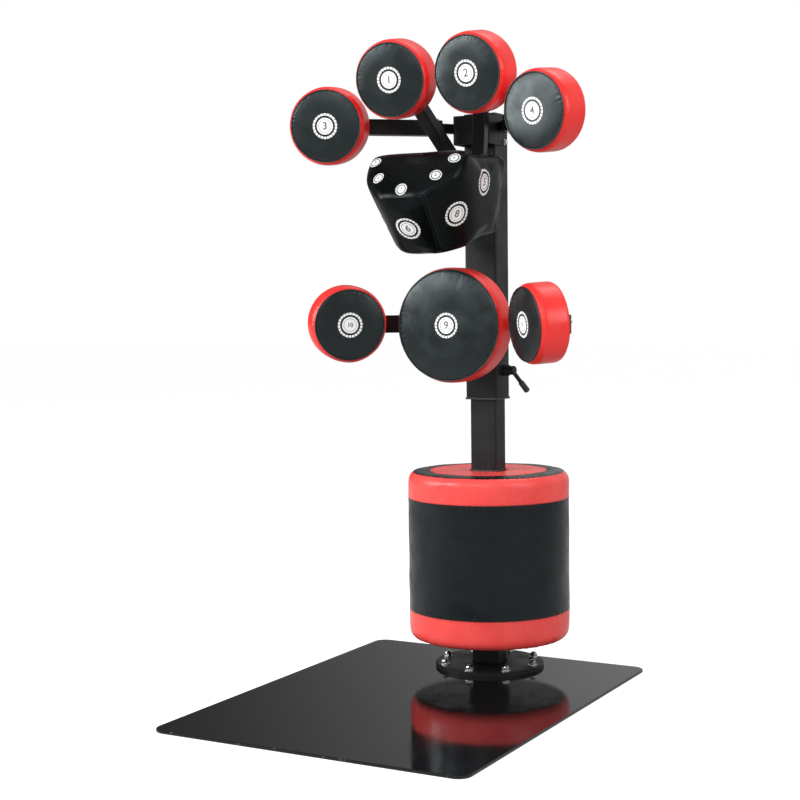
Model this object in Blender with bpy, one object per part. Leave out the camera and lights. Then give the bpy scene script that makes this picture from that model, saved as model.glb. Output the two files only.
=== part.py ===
"""Free-standing boxing training tower: steel base, telescoping mast and padded targets.

Units are metres, +Z is up, the boxer stands on the -Y side. The origin is on the underside of
the base plate, half-way along it and in the middle plane of the post and the pads.
"""
import math

import bmesh
import bpy
from mathutils import Matrix, Vector

# General
GAP = 0.0003                # clearance between pieces that seat on each other
WELD_BITE = 0.001           # how far welded pieces of one node reach into each other
CUT_MARGIN = 0.010          # how far a cutter runs past the faces that it opens
FAR = 1.0                   # reach of a cutting block that takes all beyond a plane

# Base plate and post foot
PLATE_WIDTH = 0.886
PLATE_DEPTH = 1.172
PLATE_THICKNESS = 0.008
PLATE_SHIFT = -0.0207        # middle of the plate, left of the post
PLATE_CORNER = 0.035
PLATE_EDGE = 0.0012
FLANGE_RADIUS = 0.158
FLANGE_THICKNESS = 0.012
FLANGE_EDGE = 0.002
FLANGE_FROM_BACK_EDGE = 0.008
FLANGE_BOLTS = 8
BOLT_FROM_RIM = 0.021
BOLT_RADIUS = 0.006
BOLT_TIP = 0.001
BOLT_HEAD_RADIUS = 0.011
BOLT_HEAD_HEIGHT = 0.014
BOLT_DOME = 0.006
WASHER_RADIUS = 0.0135
WASHER_THICKNESS = 0.002
POST_Y = PLATE_DEPTH / 2 - FLANGE_RADIUS - FLANGE_FROM_BACK_EDGE

# Mast, a rectangular tube that slides on the lower post with nylon guides between them
MAST_WIDTH = 0.100
MAST_DEPTH = 0.085
MAST_WALL = 0.0035
MAST_BOTTOM = 0.7955
TUBE_CORNER = 0.006
GUIDE_THICKNESS = 0.0055
POST_WIDTH = MAST_WIDTH - 2 * MAST_WALL - 2 * GUIDE_THICKNESS
POST_DEPTH = MAST_DEPTH - 2 * MAST_WALL - 2 * GUIDE_THICKNESS
POST_WALL = 0.0035
POST_TOP = 1.250
BUSH_HEIGHT = 0.040
BUSH_LIP = 0.005
BUSH_LIP_OVERHANG = 0.003
BUSH_LIP_INSET = 0.007
CAP_THICKNESS = 0.006
CAP_PLUG = 0.018
MAST_FRONT = POST_Y - MAST_DEPTH / 2

# Clamp screw and lever on the right of the mast
CLAMP_RISE = 0.078
CLAMP_BOSS_RADIUS = 0.016
CLAMP_BOSS_LENGTH = 0.018
CLAMP_SCREW_RADIUS = 0.006
CLAMP_HUB_RADIUS = 0.013
CLAMP_HUB_LENGTH = 0.020
CLAMP_HUB_EDGE = 0.003
LEVER_LENGTH = 0.088
LEVER_RADIUS = 0.0062
LEVER_KNOB_RADIUS = 0.00775
LEVER_KNOB_LENGTH = 0.012
LEVER_DROP = 43.5
LEVER_CONE = 11.0
SHOE_RADIUS = 0.0105
CLAMP_Z = MAST_BOTTOM + CLAMP_RISE

# Kick drum around the post, on a collar
DRUM_RADIUS = 0.2375
DRUM_BOTTOM = 0.094
DRUM_TOP = 0.585
DRUM_SKIN = 0.014
DRUM_PADDING = 0.039
DRUM_EDGE = 0.022
DRUM_SEGMENTS = 48
DRUM_BOARD_THICKNESS = 0.015
DRUM_CORE_RADIUS = 0.080
DRUM_CORE_WALL = 0.005
COLLAR_WALL = 0.007
COLLAR_THICKNESS = 0.018
COLLAR_CLEARANCE = 0.002
DRUM_BOARD_RADIUS = DRUM_RADIUS - DRUM_PADDING
COLLAR_RADIUS = math.hypot(POST_WIDTH, POST_DEPTH) / 2 + COLLAR_WALL

# Round pads
PAD_RADIUS = 0.110
CENTRE_PAD_RADIUS = 0.162
PAD_THICKNESS = 0.085
PAD_RIM = 0.012             # cushion that stands beyond the edge of its board
PAD_BOARD_THICKNESS = 0.012
PAD_FACE_INSET = 0.008
PAD_FRONT_EDGE = 0.014
PAD_BACK_EDGE = 0.005
PAD_CROWN = 0.003
PAD_SEGMENTS = 36

# Middle row: centre pad and side pads
MIDDLE_ROW_RISE = 0.1339     # centre pad above the clamp
CENTRE_PAD_REACH = 0.2146   # pad faces in front of the mast
SIDE_PAD_REACH = 0.2897
SIDE_PAD_SPACING = 0.0189
SIDE_PAD_RISE = 0.003
SIDE_YAW = 41.0
SIDE_TILT = 4.0
CENTRE_FACE = Vector((0.0, MAST_FRONT - CENTRE_PAD_REACH, CLAMP_Z + MIDDLE_ROW_RISE))
SIDE_FACE = Vector((CENTRE_PAD_RADIUS + SIDE_PAD_SPACING + PAD_RADIUS * math.cos(math.radians(SIDE_YAW)),
                    MAST_FRONT - SIDE_PAD_REACH, CENTRE_FACE.z + SIDE_PAD_RISE))

# Uppercut pad, right-hand half of its corners
UPPERCUT_CLEARANCE = 0.0236  # above the centre pad
UPPERCUT_HEIGHT = 0.275
UPPERCUT_BACK = MAST_FRONT - 0.1300
UPPERCUT_BOTTOM = CENTRE_FACE.z + CENTRE_PAD_RADIUS + UPPERCUT_CLEARANCE
UPPERCUT_TOP = UPPERCUT_BOTTOM + UPPERCUT_HEIGHT
CREASE_CORNER = Vector((0.070, UPPERCUT_BACK - 0.3605, UPPERCUT_TOP - 0.125))
SIDE_CORNER = Vector((0.150, UPPERCUT_BACK - 0.290, UPPERCUT_TOP - 0.058))
SLOPE_TOP_CORNER = Vector((0.145, UPPERCUT_BACK - 0.2495, UPPERCUT_TOP))
FRONT_BOTTOM_CORNER = Vector((0.060, UPPERCUT_BACK - 0.2268, UPPERCUT_BOTTOM))
SIDE_BOTTOM_CORNER = Vector((0.115, UPPERCUT_BACK - 0.1637, UPPERCUT_BOTTOM + 0.022))
BACK_BOTTOM_CORNER = Vector((0.118, UPPERCUT_BACK, UPPERCUT_TOP - 0.195))
UPPERCUT_EDGE = 0.014
UPPERCUT_FLAT_ANGLE = 4.0
UPPERCUT_BOARD_WIDTH = 0.210
UPPERCUT_BOARD_TOP = UPPERCUT_TOP - 0.027
UPPERCUT_BOARD_BOTTOM = UPPERCUT_TOP - 0.173
UPPERCUT_STUB_Z = UPPERCUT_TOP - 0.160
UPPERCUT_STUB_WIDTH = 0.050
UPPERCUT_PLATE_WIDTH = 0.120
UPPERCUT_PLATE_BELOW = 0.029
UPPERCUT_PLATE_ABOVE = 0.075
UPPERCUT_WALL_PLATE_BELOW = 0.038
UPPERCUT_WALL_PLATE_ABOVE = 0.036

# Head row: two inner pads over two outer pads
INNER_HALF_GAP = 0.0063
INNER_RISE = 0.095          # lowest edge of the inner pads above the uppercut pad
INNER_REACH = 0.316
INNER_YAW = 5.0
INNER_TILT = 10.0
OUTER_SPACING = 0.00635      # between an inner and an outer pad
OUTER_DROP_ANGLE = 29.86
OUTER_REACH = 0.3298
OUTER_YAW = 16.0
OUTER_TILT = 6.0
HEAD_STEP = 2 * PAD_RADIUS + OUTER_SPACING
INNER_FACE = Vector((PAD_RADIUS + INNER_HALF_GAP, MAST_FRONT - INNER_REACH,
                     UPPERCUT_TOP + PAD_RADIUS + INNER_RISE))
OUTER_FACE = Vector((INNER_FACE.x + HEAD_STEP * math.cos(math.radians(OUTER_DROP_ANGLE)),
                     MAST_FRONT - OUTER_REACH,
                     INNER_FACE.z - HEAD_STEP * math.sin(math.radians(OUTER_DROP_ANGLE))))
MAST_TOP = OUTER_FACE.z + 0.040

# Steel plates, brackets and arms
MOUNT_PLATE = 0.006
MOUNT_PLATE_SIZE = 0.084
OUTER_PLATE = (0.100, 0.064)
SIDE_PLATE = (0.084, 0.064)
INNER_PLATE = (0.076, 0.100)
VENT_RADIUS = 0.009
ARM_WALL = 0.003
OUTER_ARM_WIDTH = 0.040
OUTER_ARM_HEIGHT = 0.043
SIDE_ARM_WIDTH = 0.030
SIDE_ARM_HEIGHT = 0.050
SIDE_ARM_TAIL = 0.040
INNER_ARM_SIZE = 0.036
PIN_RADIUS = 0.006
PIN_HEAD_RADIUS = 0.010
PIN_HEAD_HEIGHT = 0.005
LUG_HEIGHT = 0.026
LUG_RADIUS = 0.0145
FORK_SLOT = 0.038
BUFFER_INSET = 0.0025
BRACKET_PLATE = 0.006
BRACKET_GRIP = 0.050
OUTER_PIN = Vector((MAST_WIDTH / 2 + 0.066, MAST_FRONT - 0.0455, OUTER_FACE.z + 0.007))
SIDE_PIN = Vector((MAST_WIDTH / 2 + 0.049, MAST_FRONT + 0.0065, SIDE_FACE.z))
HEAD_BRACKET_REACH = 0.0565
HEAD_BRACKET_HEIGHT = 0.081
HEAD_BRACKET_DROP = 0.004
HEAD_BRACKET_INNER_CORNER = 0.002
MID_BRACKET_HEIGHT = 0.090
STUB_SIZE = 0.060
STUB_WALL = 0.003
SQUARE_TUBE_CORNER = 0.004
HINGE_PIN_Y = MAST_FRONT - 0.0425
HINGE_PIN_Z = UPPERCUT_TOP - 0.062
HINGE_PLATE_HEIGHT = 0.084
HINGE_BARREL_RADIUS = 0.016
HINGE_BARREL_INNER = 0.0150
HINGE_BARREL_OUTER = 0.0450
HINGE_CHEEK = 0.007
TONGUE_START = 0.004
TONGUE_LENGTH = 0.042
WEEP_RADIUS = 0.004
WEEP_PLACE = 0.030

# Heights and faces that several pieces share
FLANGE_BOTTOM = PLATE_THICKNESS + GAP
FLANGE_TOP = FLANGE_BOTTOM + FLANGE_THICKNESS
POST_BOTTOM = FLANGE_TOP + GAP
BRACKET_FACE = MAST_FRONT - GAP - BRACKET_PLATE


# ---------------------------------------------------------------- materials and objects
def make_material(name, colour, roughness, metallic=0.0):
    """A Principled BSDF material."""
    material = bpy.data.materials.new(name)
    material.use_nodes = True
    shader = material.node_tree.nodes["Principled BSDF"]
    shader.inputs["Base Color"].default_value = (*colour, 1.0)
    shader.inputs["Roughness"].default_value = roughness
    shader.inputs["Metallic"].default_value = metallic
    material.diffuse_color = (*colour, 1.0)
    return material


FINISHES = {
    "gloss_black_steel": ((0.012, 0.012, 0.013), 0.12, 0.0),
    "satin_black_steel": ((0.018, 0.018, 0.019), 0.42, 0.0),
    "chrome": ((0.75, 0.75, 0.77), 0.14, 1.0),
    "black_nylon": ((0.020, 0.020, 0.021), 0.55, 0.0),
    "rubber": ((0.022, 0.022, 0.022), 0.80, 0.0),
    "plywood": ((0.46, 0.31, 0.17), 0.65, 0.0),
    "card_tube": ((0.36, 0.26, 0.16), 0.75, 0.0),
    "red_vinyl": ((0.80, 0.045, 0.035), 0.38, 0.0),
    "black_vinyl": ((0.030, 0.033, 0.035), 0.42, 0.0),
}


def clear_scene():
    """Start from an empty scene."""
    for thing in list(bpy.data.objects):
        bpy.data.objects.remove(thing, do_unlink=True)


def shape(bm, name="shape"):
    """Turn a bmesh into an object with outward normals."""
    bmesh.ops.remove_doubles(bm, verts=bm.verts, dist=0.00001)
    bmesh.ops.recalc_face_normals(bm, faces=bm.faces)
    mesh = bpy.data.meshes.new(name)
    bm.to_mesh(mesh)
    bm.free()
    thing = bpy.data.objects.new(name, mesh)
    bpy.context.scene.collection.objects.link(thing)
    return thing


def combine(thing, tool, operation):
    """Apply an exact Boolean to an object and drop its tool."""
    modifier = thing.modifiers.new(operation.lower(), "BOOLEAN")
    modifier.operation = operation
    modifier.object = tool
    modifier.solver = "EXACT"
    with bpy.context.temp_override(object=thing, active_object=thing):
        bpy.ops.object.modifier_apply(modifier=modifier.name)
    bpy.data.objects.remove(tool, do_unlink=True)
    return thing


def unite(thing, *tools):
    for tool in tools:
        combine(thing, tool, "UNION")
    return thing


def cut(thing, *tools):
    for tool in tools:
        combine(thing, tool, "DIFFERENCE")
    return thing


def finish(thing, name, finish_name, frame=None, parent=None, smooth=30.0):
    """Name, shade, colour, place and parent a finished piece."""
    thing.name = name
    thing.data.name = name
    thing.data.materials.clear()
    thing.data.materials.append(bpy.data.materials[finish_name])
    thing.data.shade_smooth()
    thing.data.set_sharp_from_angle(angle=math.radians(smooth))
    set_frame(thing, frame if frame is not None else Matrix.Identity(4), parent)
    return thing


def set_frame(thing, frame, parent=None):
    """Place an object in the world, and hang it on its parent without moving it."""
    if parent is not None:
        thing.parent = parent
        thing.matrix_parent_inverse = parent.matrix_world.inverted()
    thing.matrix_basis = frame
    bpy.context.view_layer.update()


def joint_empty(name, frame, parent=None):
    """An empty on a joint's axis that carries one moving body."""
    empty = bpy.data.objects.new(name, None)
    bpy.context.scene.collection.objects.link(empty)
    empty.empty_display_size = 0.05
    set_frame(empty, frame, parent)
    return empty


# ---------------------------------------------------------------- outlines and solids
def rounded_rectangle(width, depth, radius, steps=4, centre=(0.0, 0.0)):
    """Corner arcs of a rectangle, anticlockwise."""
    points = []
    corners = ((1, 1, 0), (-1, 1, 90), (-1, -1, 180), (1, -1, 270))
    for sign_x, sign_y, start in corners:
        middle_x = centre[0] + sign_x * (width / 2 - radius)
        middle_y = centre[1] + sign_y * (depth / 2 - radius)
        for step in range(steps + 1):
            angle = math.radians(start + 90.0 * step / steps)
            points.append((middle_x + radius * math.cos(angle), middle_y + radius * math.sin(angle)))
    return points


def tongue_outline(radius, root, steps=12):
    """A bar along +X from a round end about the origin to a square root."""
    points = [(root, radius)]
    for step in range(steps + 1):
        angle = math.radians(90.0 + 180.0 * step / steps)
        points.append((radius * math.cos(angle), radius * math.sin(angle)))
    points.append((root, -radius))
    return points


def spot(axis, u, v, w):
    """A point whose extrusion coordinate w lies along the named axis."""
    if axis == "X":
        return (w, u, v)
    if axis == "Y":
        return (u, w, v)
    return (u, v, w)


def prism(outline, low, high, axis="Z"):
    """Extrude a closed outline between two levels."""
    bm = bmesh.new()
    lower = [bm.verts.new(spot(axis, u, v, low)) for u, v in outline]
    upper = [bm.verts.new(spot(axis, u, v, high)) for u, v in outline]
    bm.faces.new(lower)
    bm.faces.new(list(reversed(upper)))
    count = len(outline)
    for index in range(count):
        after = (index + 1) % count
        bm.faces.new((lower[index], lower[after], upper[after], upper[index]))
    return shape(bm)


def stacked(layers):
    """Skin a stack of level outlines that have as many points, with flat ends."""
    bm = bmesh.new()
    rings = [[bm.verts.new((u, v, level)) for u, v in outline] for outline, level in layers]
    bm.faces.new(rings[0])
    bm.faces.new(list(reversed(rings[-1])))
    for lower, upper in zip(rings, rings[1:]):
        for index in range(len(lower)):
            after = (index + 1) % len(lower)
            bm.faces.new((lower[index], lower[after], upper[after], upper[index]))
    return shape(bm)


def hollow_prism(outer, inner, low, high, axis="Z"):
    """Extrude the ring between two outlines that have as many points."""
    bm = bmesh.new()
    loops = []
    for outline, level in ((outer, low), (outer, high), (inner, high), (inner, low)):
        loops.append([bm.verts.new(spot(axis, u, v, level)) for u, v in outline])
    count = len(outer)
    for side in range(4):
        first, second = loops[side], loops[(side + 1) % 4]
        for index in range(count):
            after = (index + 1) % count
            bm.faces.new((first[index], first[after], second[after], second[index]))
    return shape(bm)


def block(x_range, y_range, z_range):
    """A box between three pairs of limits."""
    outline = [(x_range[0], y_range[0]), (x_range[1], y_range[0]),
               (x_range[1], y_range[1]), (x_range[0], y_range[1])]
    return prism(outline, *z_range)


def turned(profile, segments=32, axis="Z", centre=(0.0, 0.0)):
    """Revolve a closed profile of (radius, level) points about an axis."""
    bm = bmesh.new()
    rings = []
    for radius, level in profile:
        if radius == 0.0:
            rings.append([bm.verts.new(spot(axis, centre[0], centre[1], level))])
            continue
        ring = []
        for step in range(segments):
            angle = math.tau * step / segments
            u = centre[0] + radius * math.cos(angle)
            v = centre[1] + radius * math.sin(angle)
            ring.append(bm.verts.new(spot(axis, u, v, level)))
        rings.append(ring)
    for index, first in enumerate(rings):
        second = rings[(index + 1) % len(rings)]
        if len(first) == 1 and len(second) == 1:
            continue
        for step in range(segments):
            after = (step + 1) % segments
            if len(first) == 1:
                bm.faces.new((first[0], second[step], second[after]))
            elif len(second) == 1:
                bm.faces.new((first[step], first[after], second[0]))
            else:
                bm.faces.new((first[step], first[after], second[after], second[step]))
    return shape(bm)


def cylinder(radius, low, high, axis="Z", centre=(0.0, 0.0), segments=24):
    """A plain round bar."""
    profile = [(0.0, low), (radius, low), (radius, high), (0.0, high)]
    return turned(profile, segments, axis, centre)


def arc(centre_r, centre_z, radius, start, stop, steps):
    """Profile points on an arc, angles in degrees."""
    points = []
    for step in range(steps + 1):
        angle = math.radians(start + (stop - start) * step / steps)
        points.append((centre_r + radius * math.cos(angle), centre_z + radius * math.sin(angle)))
    return points


def in_frame(thing, frame):
    """Move a shape's mesh into another frame."""
    thing.data.transform(frame)
    return thing


# ---------------------------------------------------------------- frames
def pad_frame(face, yaw, tilt, side):
    """Frame at the middle of a pad's back: local -Y points out of its face."""
    turn = Matrix.Rotation(math.radians(-side * yaw), 4, "Z") @ Matrix.Rotation(math.radians(tilt), 4, "X")
    centre = Vector((side * face.x, face.y, face.z)) if side else face.copy()
    back = centre + turn.to_3x3() @ Vector((0.0, PAD_THICKNESS, 0.0))
    return Matrix.Translation(back) @ turn


def aimed_frame(origin, target, up=Vector((0.0, 0.0, 1.0))):
    """Frame with +X from origin to target and +Z as near to up as it can be."""
    forward = (target - origin).normalized()
    side = up.cross(forward).normalized()
    top = forward.cross(side)
    turn = Matrix((forward, side, top)).transposed().to_4x4()
    return Matrix.Translation(origin) @ turn


# ---------------------------------------------------------------- base
def bolt_places():
    """Centres of the flange bolts, in the plane of the plate."""
    places = []
    circle = FLANGE_RADIUS - BOLT_FROM_RIM
    for index in range(FLANGE_BOLTS):
        angle = math.tau * index / FLANGE_BOLTS
        x = circle * math.cos(angle)
        y = POST_Y + circle * math.sin(angle)
        places.append((x, y))
    return places


def bolt_holes(low, high):
    """One cutter with the clearance holes of all the bolts between two levels."""
    bm = bmesh.new()
    for place in bolt_places():
        hole = cylinder(BOLT_RADIUS + GAP, low - CUT_MARGIN, high + CUT_MARGIN, centre=place, segments=12)
        bm.from_mesh(hole.data)
        bpy.data.objects.remove(hole, do_unlink=True)
    return shape(bm)


def build_base_plate():
    middle = (PLATE_SHIFT, 0.0)
    full = rounded_rectangle(PLATE_WIDTH, PLATE_DEPTH, PLATE_CORNER, 6, middle)
    inset = 2 * PLATE_EDGE
    small = rounded_rectangle(PLATE_WIDTH - inset, PLATE_DEPTH - inset, PLATE_CORNER - PLATE_EDGE, 6, middle)
    plate = stacked([(small, 0.0), (full, PLATE_EDGE), (full, PLATE_THICKNESS - PLATE_EDGE),
                     (small, PLATE_THICKNESS)])
    cut(plate, bolt_holes(0.0, PLATE_THICKNESS))
    finish(plate, "base_plate", "gloss_black_steel")


def build_flange():
    low, high = FLANGE_BOTTOM, FLANGE_TOP
    profile = [(0.0, low), (FLANGE_RADIUS, low), (FLANGE_RADIUS, high - FLANGE_EDGE),
               (FLANGE_RADIUS - FLANGE_EDGE, high), (0.0, high)]
    flange = turned(profile, 48, centre=(0.0, POST_Y))
    cut(flange, bolt_holes(low, high))
    finish(flange, "post_flange", "satin_black_steel")


def build_flange_bolts():
    """Domed hexagon bolts with washers, screwed through the flange into the plate."""
    seat = FLANGE_TOP + GAP
    washer_top = seat + WASHER_THICKNESS
    head_top = washer_top + BOLT_HEAD_HEIGHT
    flat = math.cos(math.radians(30.0))
    for index, place in enumerate(bolt_places()):
        bm = bmesh.new()
        rings = []
        levels = [(BOLT_RADIUS, BOLT_TIP, False), (BOLT_RADIUS, seat, False), (WASHER_RADIUS, seat, False),
                  (WASHER_RADIUS, washer_top, False), (BOLT_HEAD_RADIUS, washer_top, True),
                  (BOLT_HEAD_RADIUS, head_top - BOLT_DOME, True),
                  (BOLT_HEAD_RADIUS * 0.74, head_top - BOLT_DOME / 2, False),
                  (BOLT_HEAD_RADIUS * 0.45, head_top, False)]
        for radius, level, hexagonal in levels:
            ring = []
            for step in range(12):
                angle = math.tau * step / 12
                reach = radius * flat if hexagonal and step % 2 else radius
                ring.append(bm.verts.new((reach * math.cos(angle), reach * math.sin(angle), level)))
            rings.append(ring)
        for first, second in zip(rings, rings[1:]):
            for step in range(12):
                after = (step + 1) % 12
                bm.faces.new((first[step], first[after], second[after], second[step]))
        bm.faces.new(list(reversed(rings[0])))
        bm.faces.new(rings[-1])
        frame = Matrix.Translation((place[0], place[1], 0.0))
        finish(shape(bm), f"flange_bolt_{index + 1}", "chrome", frame)


def build_lower_post():
    outer = rounded_rectangle(POST_WIDTH, POST_DEPTH, TUBE_CORNER)
    inner = rounded_rectangle(POST_WIDTH - 2 * POST_WALL, POST_DEPTH - 2 * POST_WALL, TUBE_CORNER - POST_WALL)
    post = hollow_prism(outer, inner, POST_BOTTOM, POST_TOP)
    finish(post, "lower_post", "satin_black_steel", Matrix.Translation((0.0, POST_Y, 0.0)))


def build_post_guide():
    """Nylon cap bush on the top of the lower post, running inside the mast."""
    width = MAST_WIDTH - 2 * MAST_WALL - 2 * GAP
    depth = MAST_DEPTH - 2 * MAST_WALL - 2 * GAP
    corner = TUBE_CORNER - MAST_WALL
    outer = rounded_rectangle(width, depth, corner)
    hole = rounded_rectangle(POST_WIDTH + 2 * GAP, POST_DEPTH + 2 * GAP, TUBE_CORNER)
    lip = rounded_rectangle(POST_WIDTH - 2 * BUSH_LIP_INSET, POST_DEPTH - 2 * BUSH_LIP_INSET, TUBE_CORNER)
    bush = hollow_prism(outer, hole, POST_TOP - BUSH_HEIGHT, POST_TOP + GAP + WELD_BITE)
    unite(bush, hollow_prism(outer, lip, POST_TOP + GAP, POST_TOP + BUSH_LIP))
    finish(bush, "post_guide_bush", "black_nylon", Matrix.Translation((0.0, POST_Y, 0.0)))


# ---------------------------------------------------------------- kick drum
def post_hole(low, high):
    """Cutter for a plate that fits around the lower post."""
    outline = rounded_rectangle(POST_WIDTH + 2 * GAP, POST_DEPTH + 2 * GAP, TUBE_CORNER)
    return prism(outline, low, high)


def build_drum():
    place = Matrix.Translation((0.0, POST_Y, 0.0))
    board_low = DRUM_BOTTOM + DRUM_SKIN + GAP
    board_high = DRUM_TOP - DRUM_SKIN - GAP
    core_low = board_low + DRUM_BOARD_THICKNESS + GAP
    core_high = board_high - DRUM_BOARD_THICKNESS - GAP

    collar_top = board_low - GAP
    collar = cylinder(COLLAR_RADIUS, collar_top - DRUM_SKIN - COLLAR_THICKNESS, collar_top, segments=40)
    cut(collar, post_hole(0.0, DRUM_TOP))
    finish(collar, "drum_support_collar", "satin_black_steel", place)

    upper_low = board_high - DRUM_BOARD_THICKNESS
    for name, low in (("drum_board_bottom", board_low), ("drum_board_top", upper_low)):
        board = cylinder(DRUM_BOARD_RADIUS, low, low + DRUM_BOARD_THICKNESS, segments=DRUM_SEGMENTS)
        cut(board, post_hole(low - CUT_MARGIN, low + DRUM_BOARD_THICKNESS + CUT_MARGIN))
        finish(board, name, "plywood", place)

    inside = DRUM_CORE_RADIUS - DRUM_CORE_WALL
    core = turned([(inside, core_low), (DRUM_CORE_RADIUS, core_low),
                   (DRUM_CORE_RADIUS, core_high), (inside, core_high)], DRUM_SEGMENTS)
    finish(core, "drum_core_tube", "card_tube", place)

    bore = COLLAR_RADIUS + COLLAR_CLEARANCE
    board_room, core_room = DRUM_BOARD_RADIUS + GAP, DRUM_CORE_RADIUS + GAP
    edge_r, low_z, high_z = DRUM_RADIUS - DRUM_EDGE, DRUM_BOTTOM + DRUM_EDGE, DRUM_TOP - DRUM_EDGE
    profile = [(bore, DRUM_BOTTOM)]
    profile += arc(edge_r, low_z, DRUM_EDGE, -90.0, 0.0, 3)
    profile += arc(edge_r, high_z, DRUM_EDGE, 0.0, 90.0, 3)
    profile += [(bore, DRUM_TOP), (bore, board_high + GAP), (board_room, board_high + GAP),
                (board_room, core_high), (core_room, core_high), (core_room, core_low),
                (board_room, core_low), (board_room, board_low - GAP), (bore, board_low - GAP)]
    finish(turned(profile, DRUM_SEGMENTS), "drum_pad", "red_vinyl", place)


# ---------------------------------------------------------------- mast
def build_mast(mast):
    outer = rounded_rectangle(MAST_WIDTH, MAST_DEPTH, TUBE_CORNER)
    inner = rounded_rectangle(MAST_WIDTH - 2 * MAST_WALL, MAST_DEPTH - 2 * MAST_WALL, TUBE_CORNER - MAST_WALL)
    place = Matrix.Translation((0.0, POST_Y, 0.0))
    tube = hollow_prism(outer, inner, MAST_BOTTOM, MAST_TOP)
    side = MAST_WIDTH / 2
    boss_end = side + CLAMP_BOSS_LENGTH
    clamp = (0.0, CLAMP_Z)
    unite(tube, cylinder(CLAMP_BOSS_RADIUS, side - MAST_WALL / 2, boss_end, "X", clamp, 32))
    cut(tube, cylinder(CLAMP_SCREW_RADIUS + GAP, side - CUT_MARGIN, boss_end + CUT_MARGIN, "X", clamp, 24))
    finish(tube, "mast_tube", "satin_black_steel", place, mast)

    hole = rounded_rectangle(POST_WIDTH + 2 * GAP, POST_DEPTH + 2 * GAP, TUBE_CORNER)
    sleeve = rounded_rectangle(MAST_WIDTH - 2 * MAST_WALL - 2 * GAP, MAST_DEPTH - 2 * MAST_WALL - 2 * GAP,
                               TUBE_CORNER - MAST_WALL)
    lip = rounded_rectangle(MAST_WIDTH + 2 * BUSH_LIP_OVERHANG, MAST_DEPTH + 2 * BUSH_LIP_OVERHANG,
                            TUBE_CORNER + BUSH_LIP_OVERHANG)
    bush = hollow_prism(lip, hole, MAST_BOTTOM - GAP - BUSH_LIP, MAST_BOTTOM - GAP)
    unite(bush, hollow_prism(sleeve, hole, MAST_BOTTOM - GAP - WELD_BITE, MAST_BOTTOM + BUSH_HEIGHT))
    finish(bush, "mast_guide_bush", "black_nylon", place, mast)

    cap = prism(rounded_rectangle(MAST_WIDTH, MAST_DEPTH, TUBE_CORNER), MAST_TOP + GAP,
                MAST_TOP + GAP + CAP_THICKNESS)
    unite(cap, prism(sleeve, MAST_TOP - CAP_PLUG, MAST_TOP + GAP + CAP_THICKNESS / 2))
    finish(cap, "mast_cap", "black_nylon", place, mast)


def lug_bar(pin, side, root_x):
    """Bar from a bracket's side out to a vertical pin, in the frame of the bracket."""
    target = Vector((side * root_x, POST_Y, pin.z))
    start = Vector((side * pin.x, pin.y, pin.z))
    direction = (target - start).normalized()
    reach = (side * root_x - start.x) / direction.x + 2 * LUG_RADIUS
    bar = prism(tongue_outline(LUG_RADIUS, reach), -LUG_HEIGHT / 2, LUG_HEIGHT / 2)
    cut(bar, cylinder(PIN_RADIUS + GAP, -LUG_HEIGHT, LUG_HEIGHT))
    in_frame(bar, aimed_frame(start, start + direction))
    all_over = (-FAR, 2 * FAR)
    return cut(bar, block((-root_x, root_x), all_over, all_over))


def build_head_bracket(mast):
    """Short box tube welded in front of the mast head, with side plates and the lugs of the outer arms."""
    half = MAST_WIDTH / 2 + GAP + BRACKET_PLATE
    rear = MAST_FRONT - GAP
    front = MAST_FRONT - HEAD_BRACKET_REACH
    depth = rear - front
    middle = (0.0, (rear + front) / 2)
    top = MAST_TOP - HEAD_BRACKET_DROP
    z_range = (top - HEAD_BRACKET_HEIGHT, top)
    outer = rounded_rectangle(2 * half, depth, TUBE_CORNER, centre=middle)
    inner = rounded_rectangle(2 * half - 2 * BRACKET_PLATE, depth - 2 * BRACKET_PLATE,
                              HEAD_BRACKET_INNER_CORNER, centre=middle)
    bracket = hollow_prism(outer, inner, *z_range)
    for side in (-1, 1):
        x_range = sorted((side * (half - BRACKET_PLATE), side * half))
        plate = block(x_range, (rear - 2 * TUBE_CORNER, MAST_FRONT + BRACKET_GRIP), z_range)
        unite(bracket, plate, lug_bar(OUTER_PIN, side, half - BRACKET_PLATE / 2))
    finish(bracket, "head_bracket", "satin_black_steel", parent=mast)


def build_mid_bracket(mast):
    """Saddle on the mast with the stub of the centre pad and the lugs of the side arms."""
    half = MAST_WIDTH / 2 + GAP + BRACKET_PLATE
    z_range = (SIDE_PIN.z - MID_BRACKET_HEIGHT / 2, SIDE_PIN.z + MID_BRACKET_HEIGHT / 2)
    saddle = block((-half, half), (BRACKET_FACE, MAST_FRONT - GAP), z_range)
    for side in (-1, 1):
        x_range = sorted((side * (half - BRACKET_PLATE), side * half))
        plate = block(x_range, (BRACKET_FACE + WELD_BITE, MAST_FRONT + BRACKET_GRIP), z_range)
        unite(saddle, plate, lug_bar(SIDE_PIN, side, half - BRACKET_PLATE / 2))
    level, reach = CENTRE_FACE.z, MOUNT_PLATE_SIZE / 2
    add_stub(saddle, CENTRE_FACE.y + PAD_THICKNESS + GAP, level, STUB_SIZE,
             (-reach, reach), (level - reach, level + reach))
    finish(saddle, "mid_bracket", "satin_black_steel", parent=mast)


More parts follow.
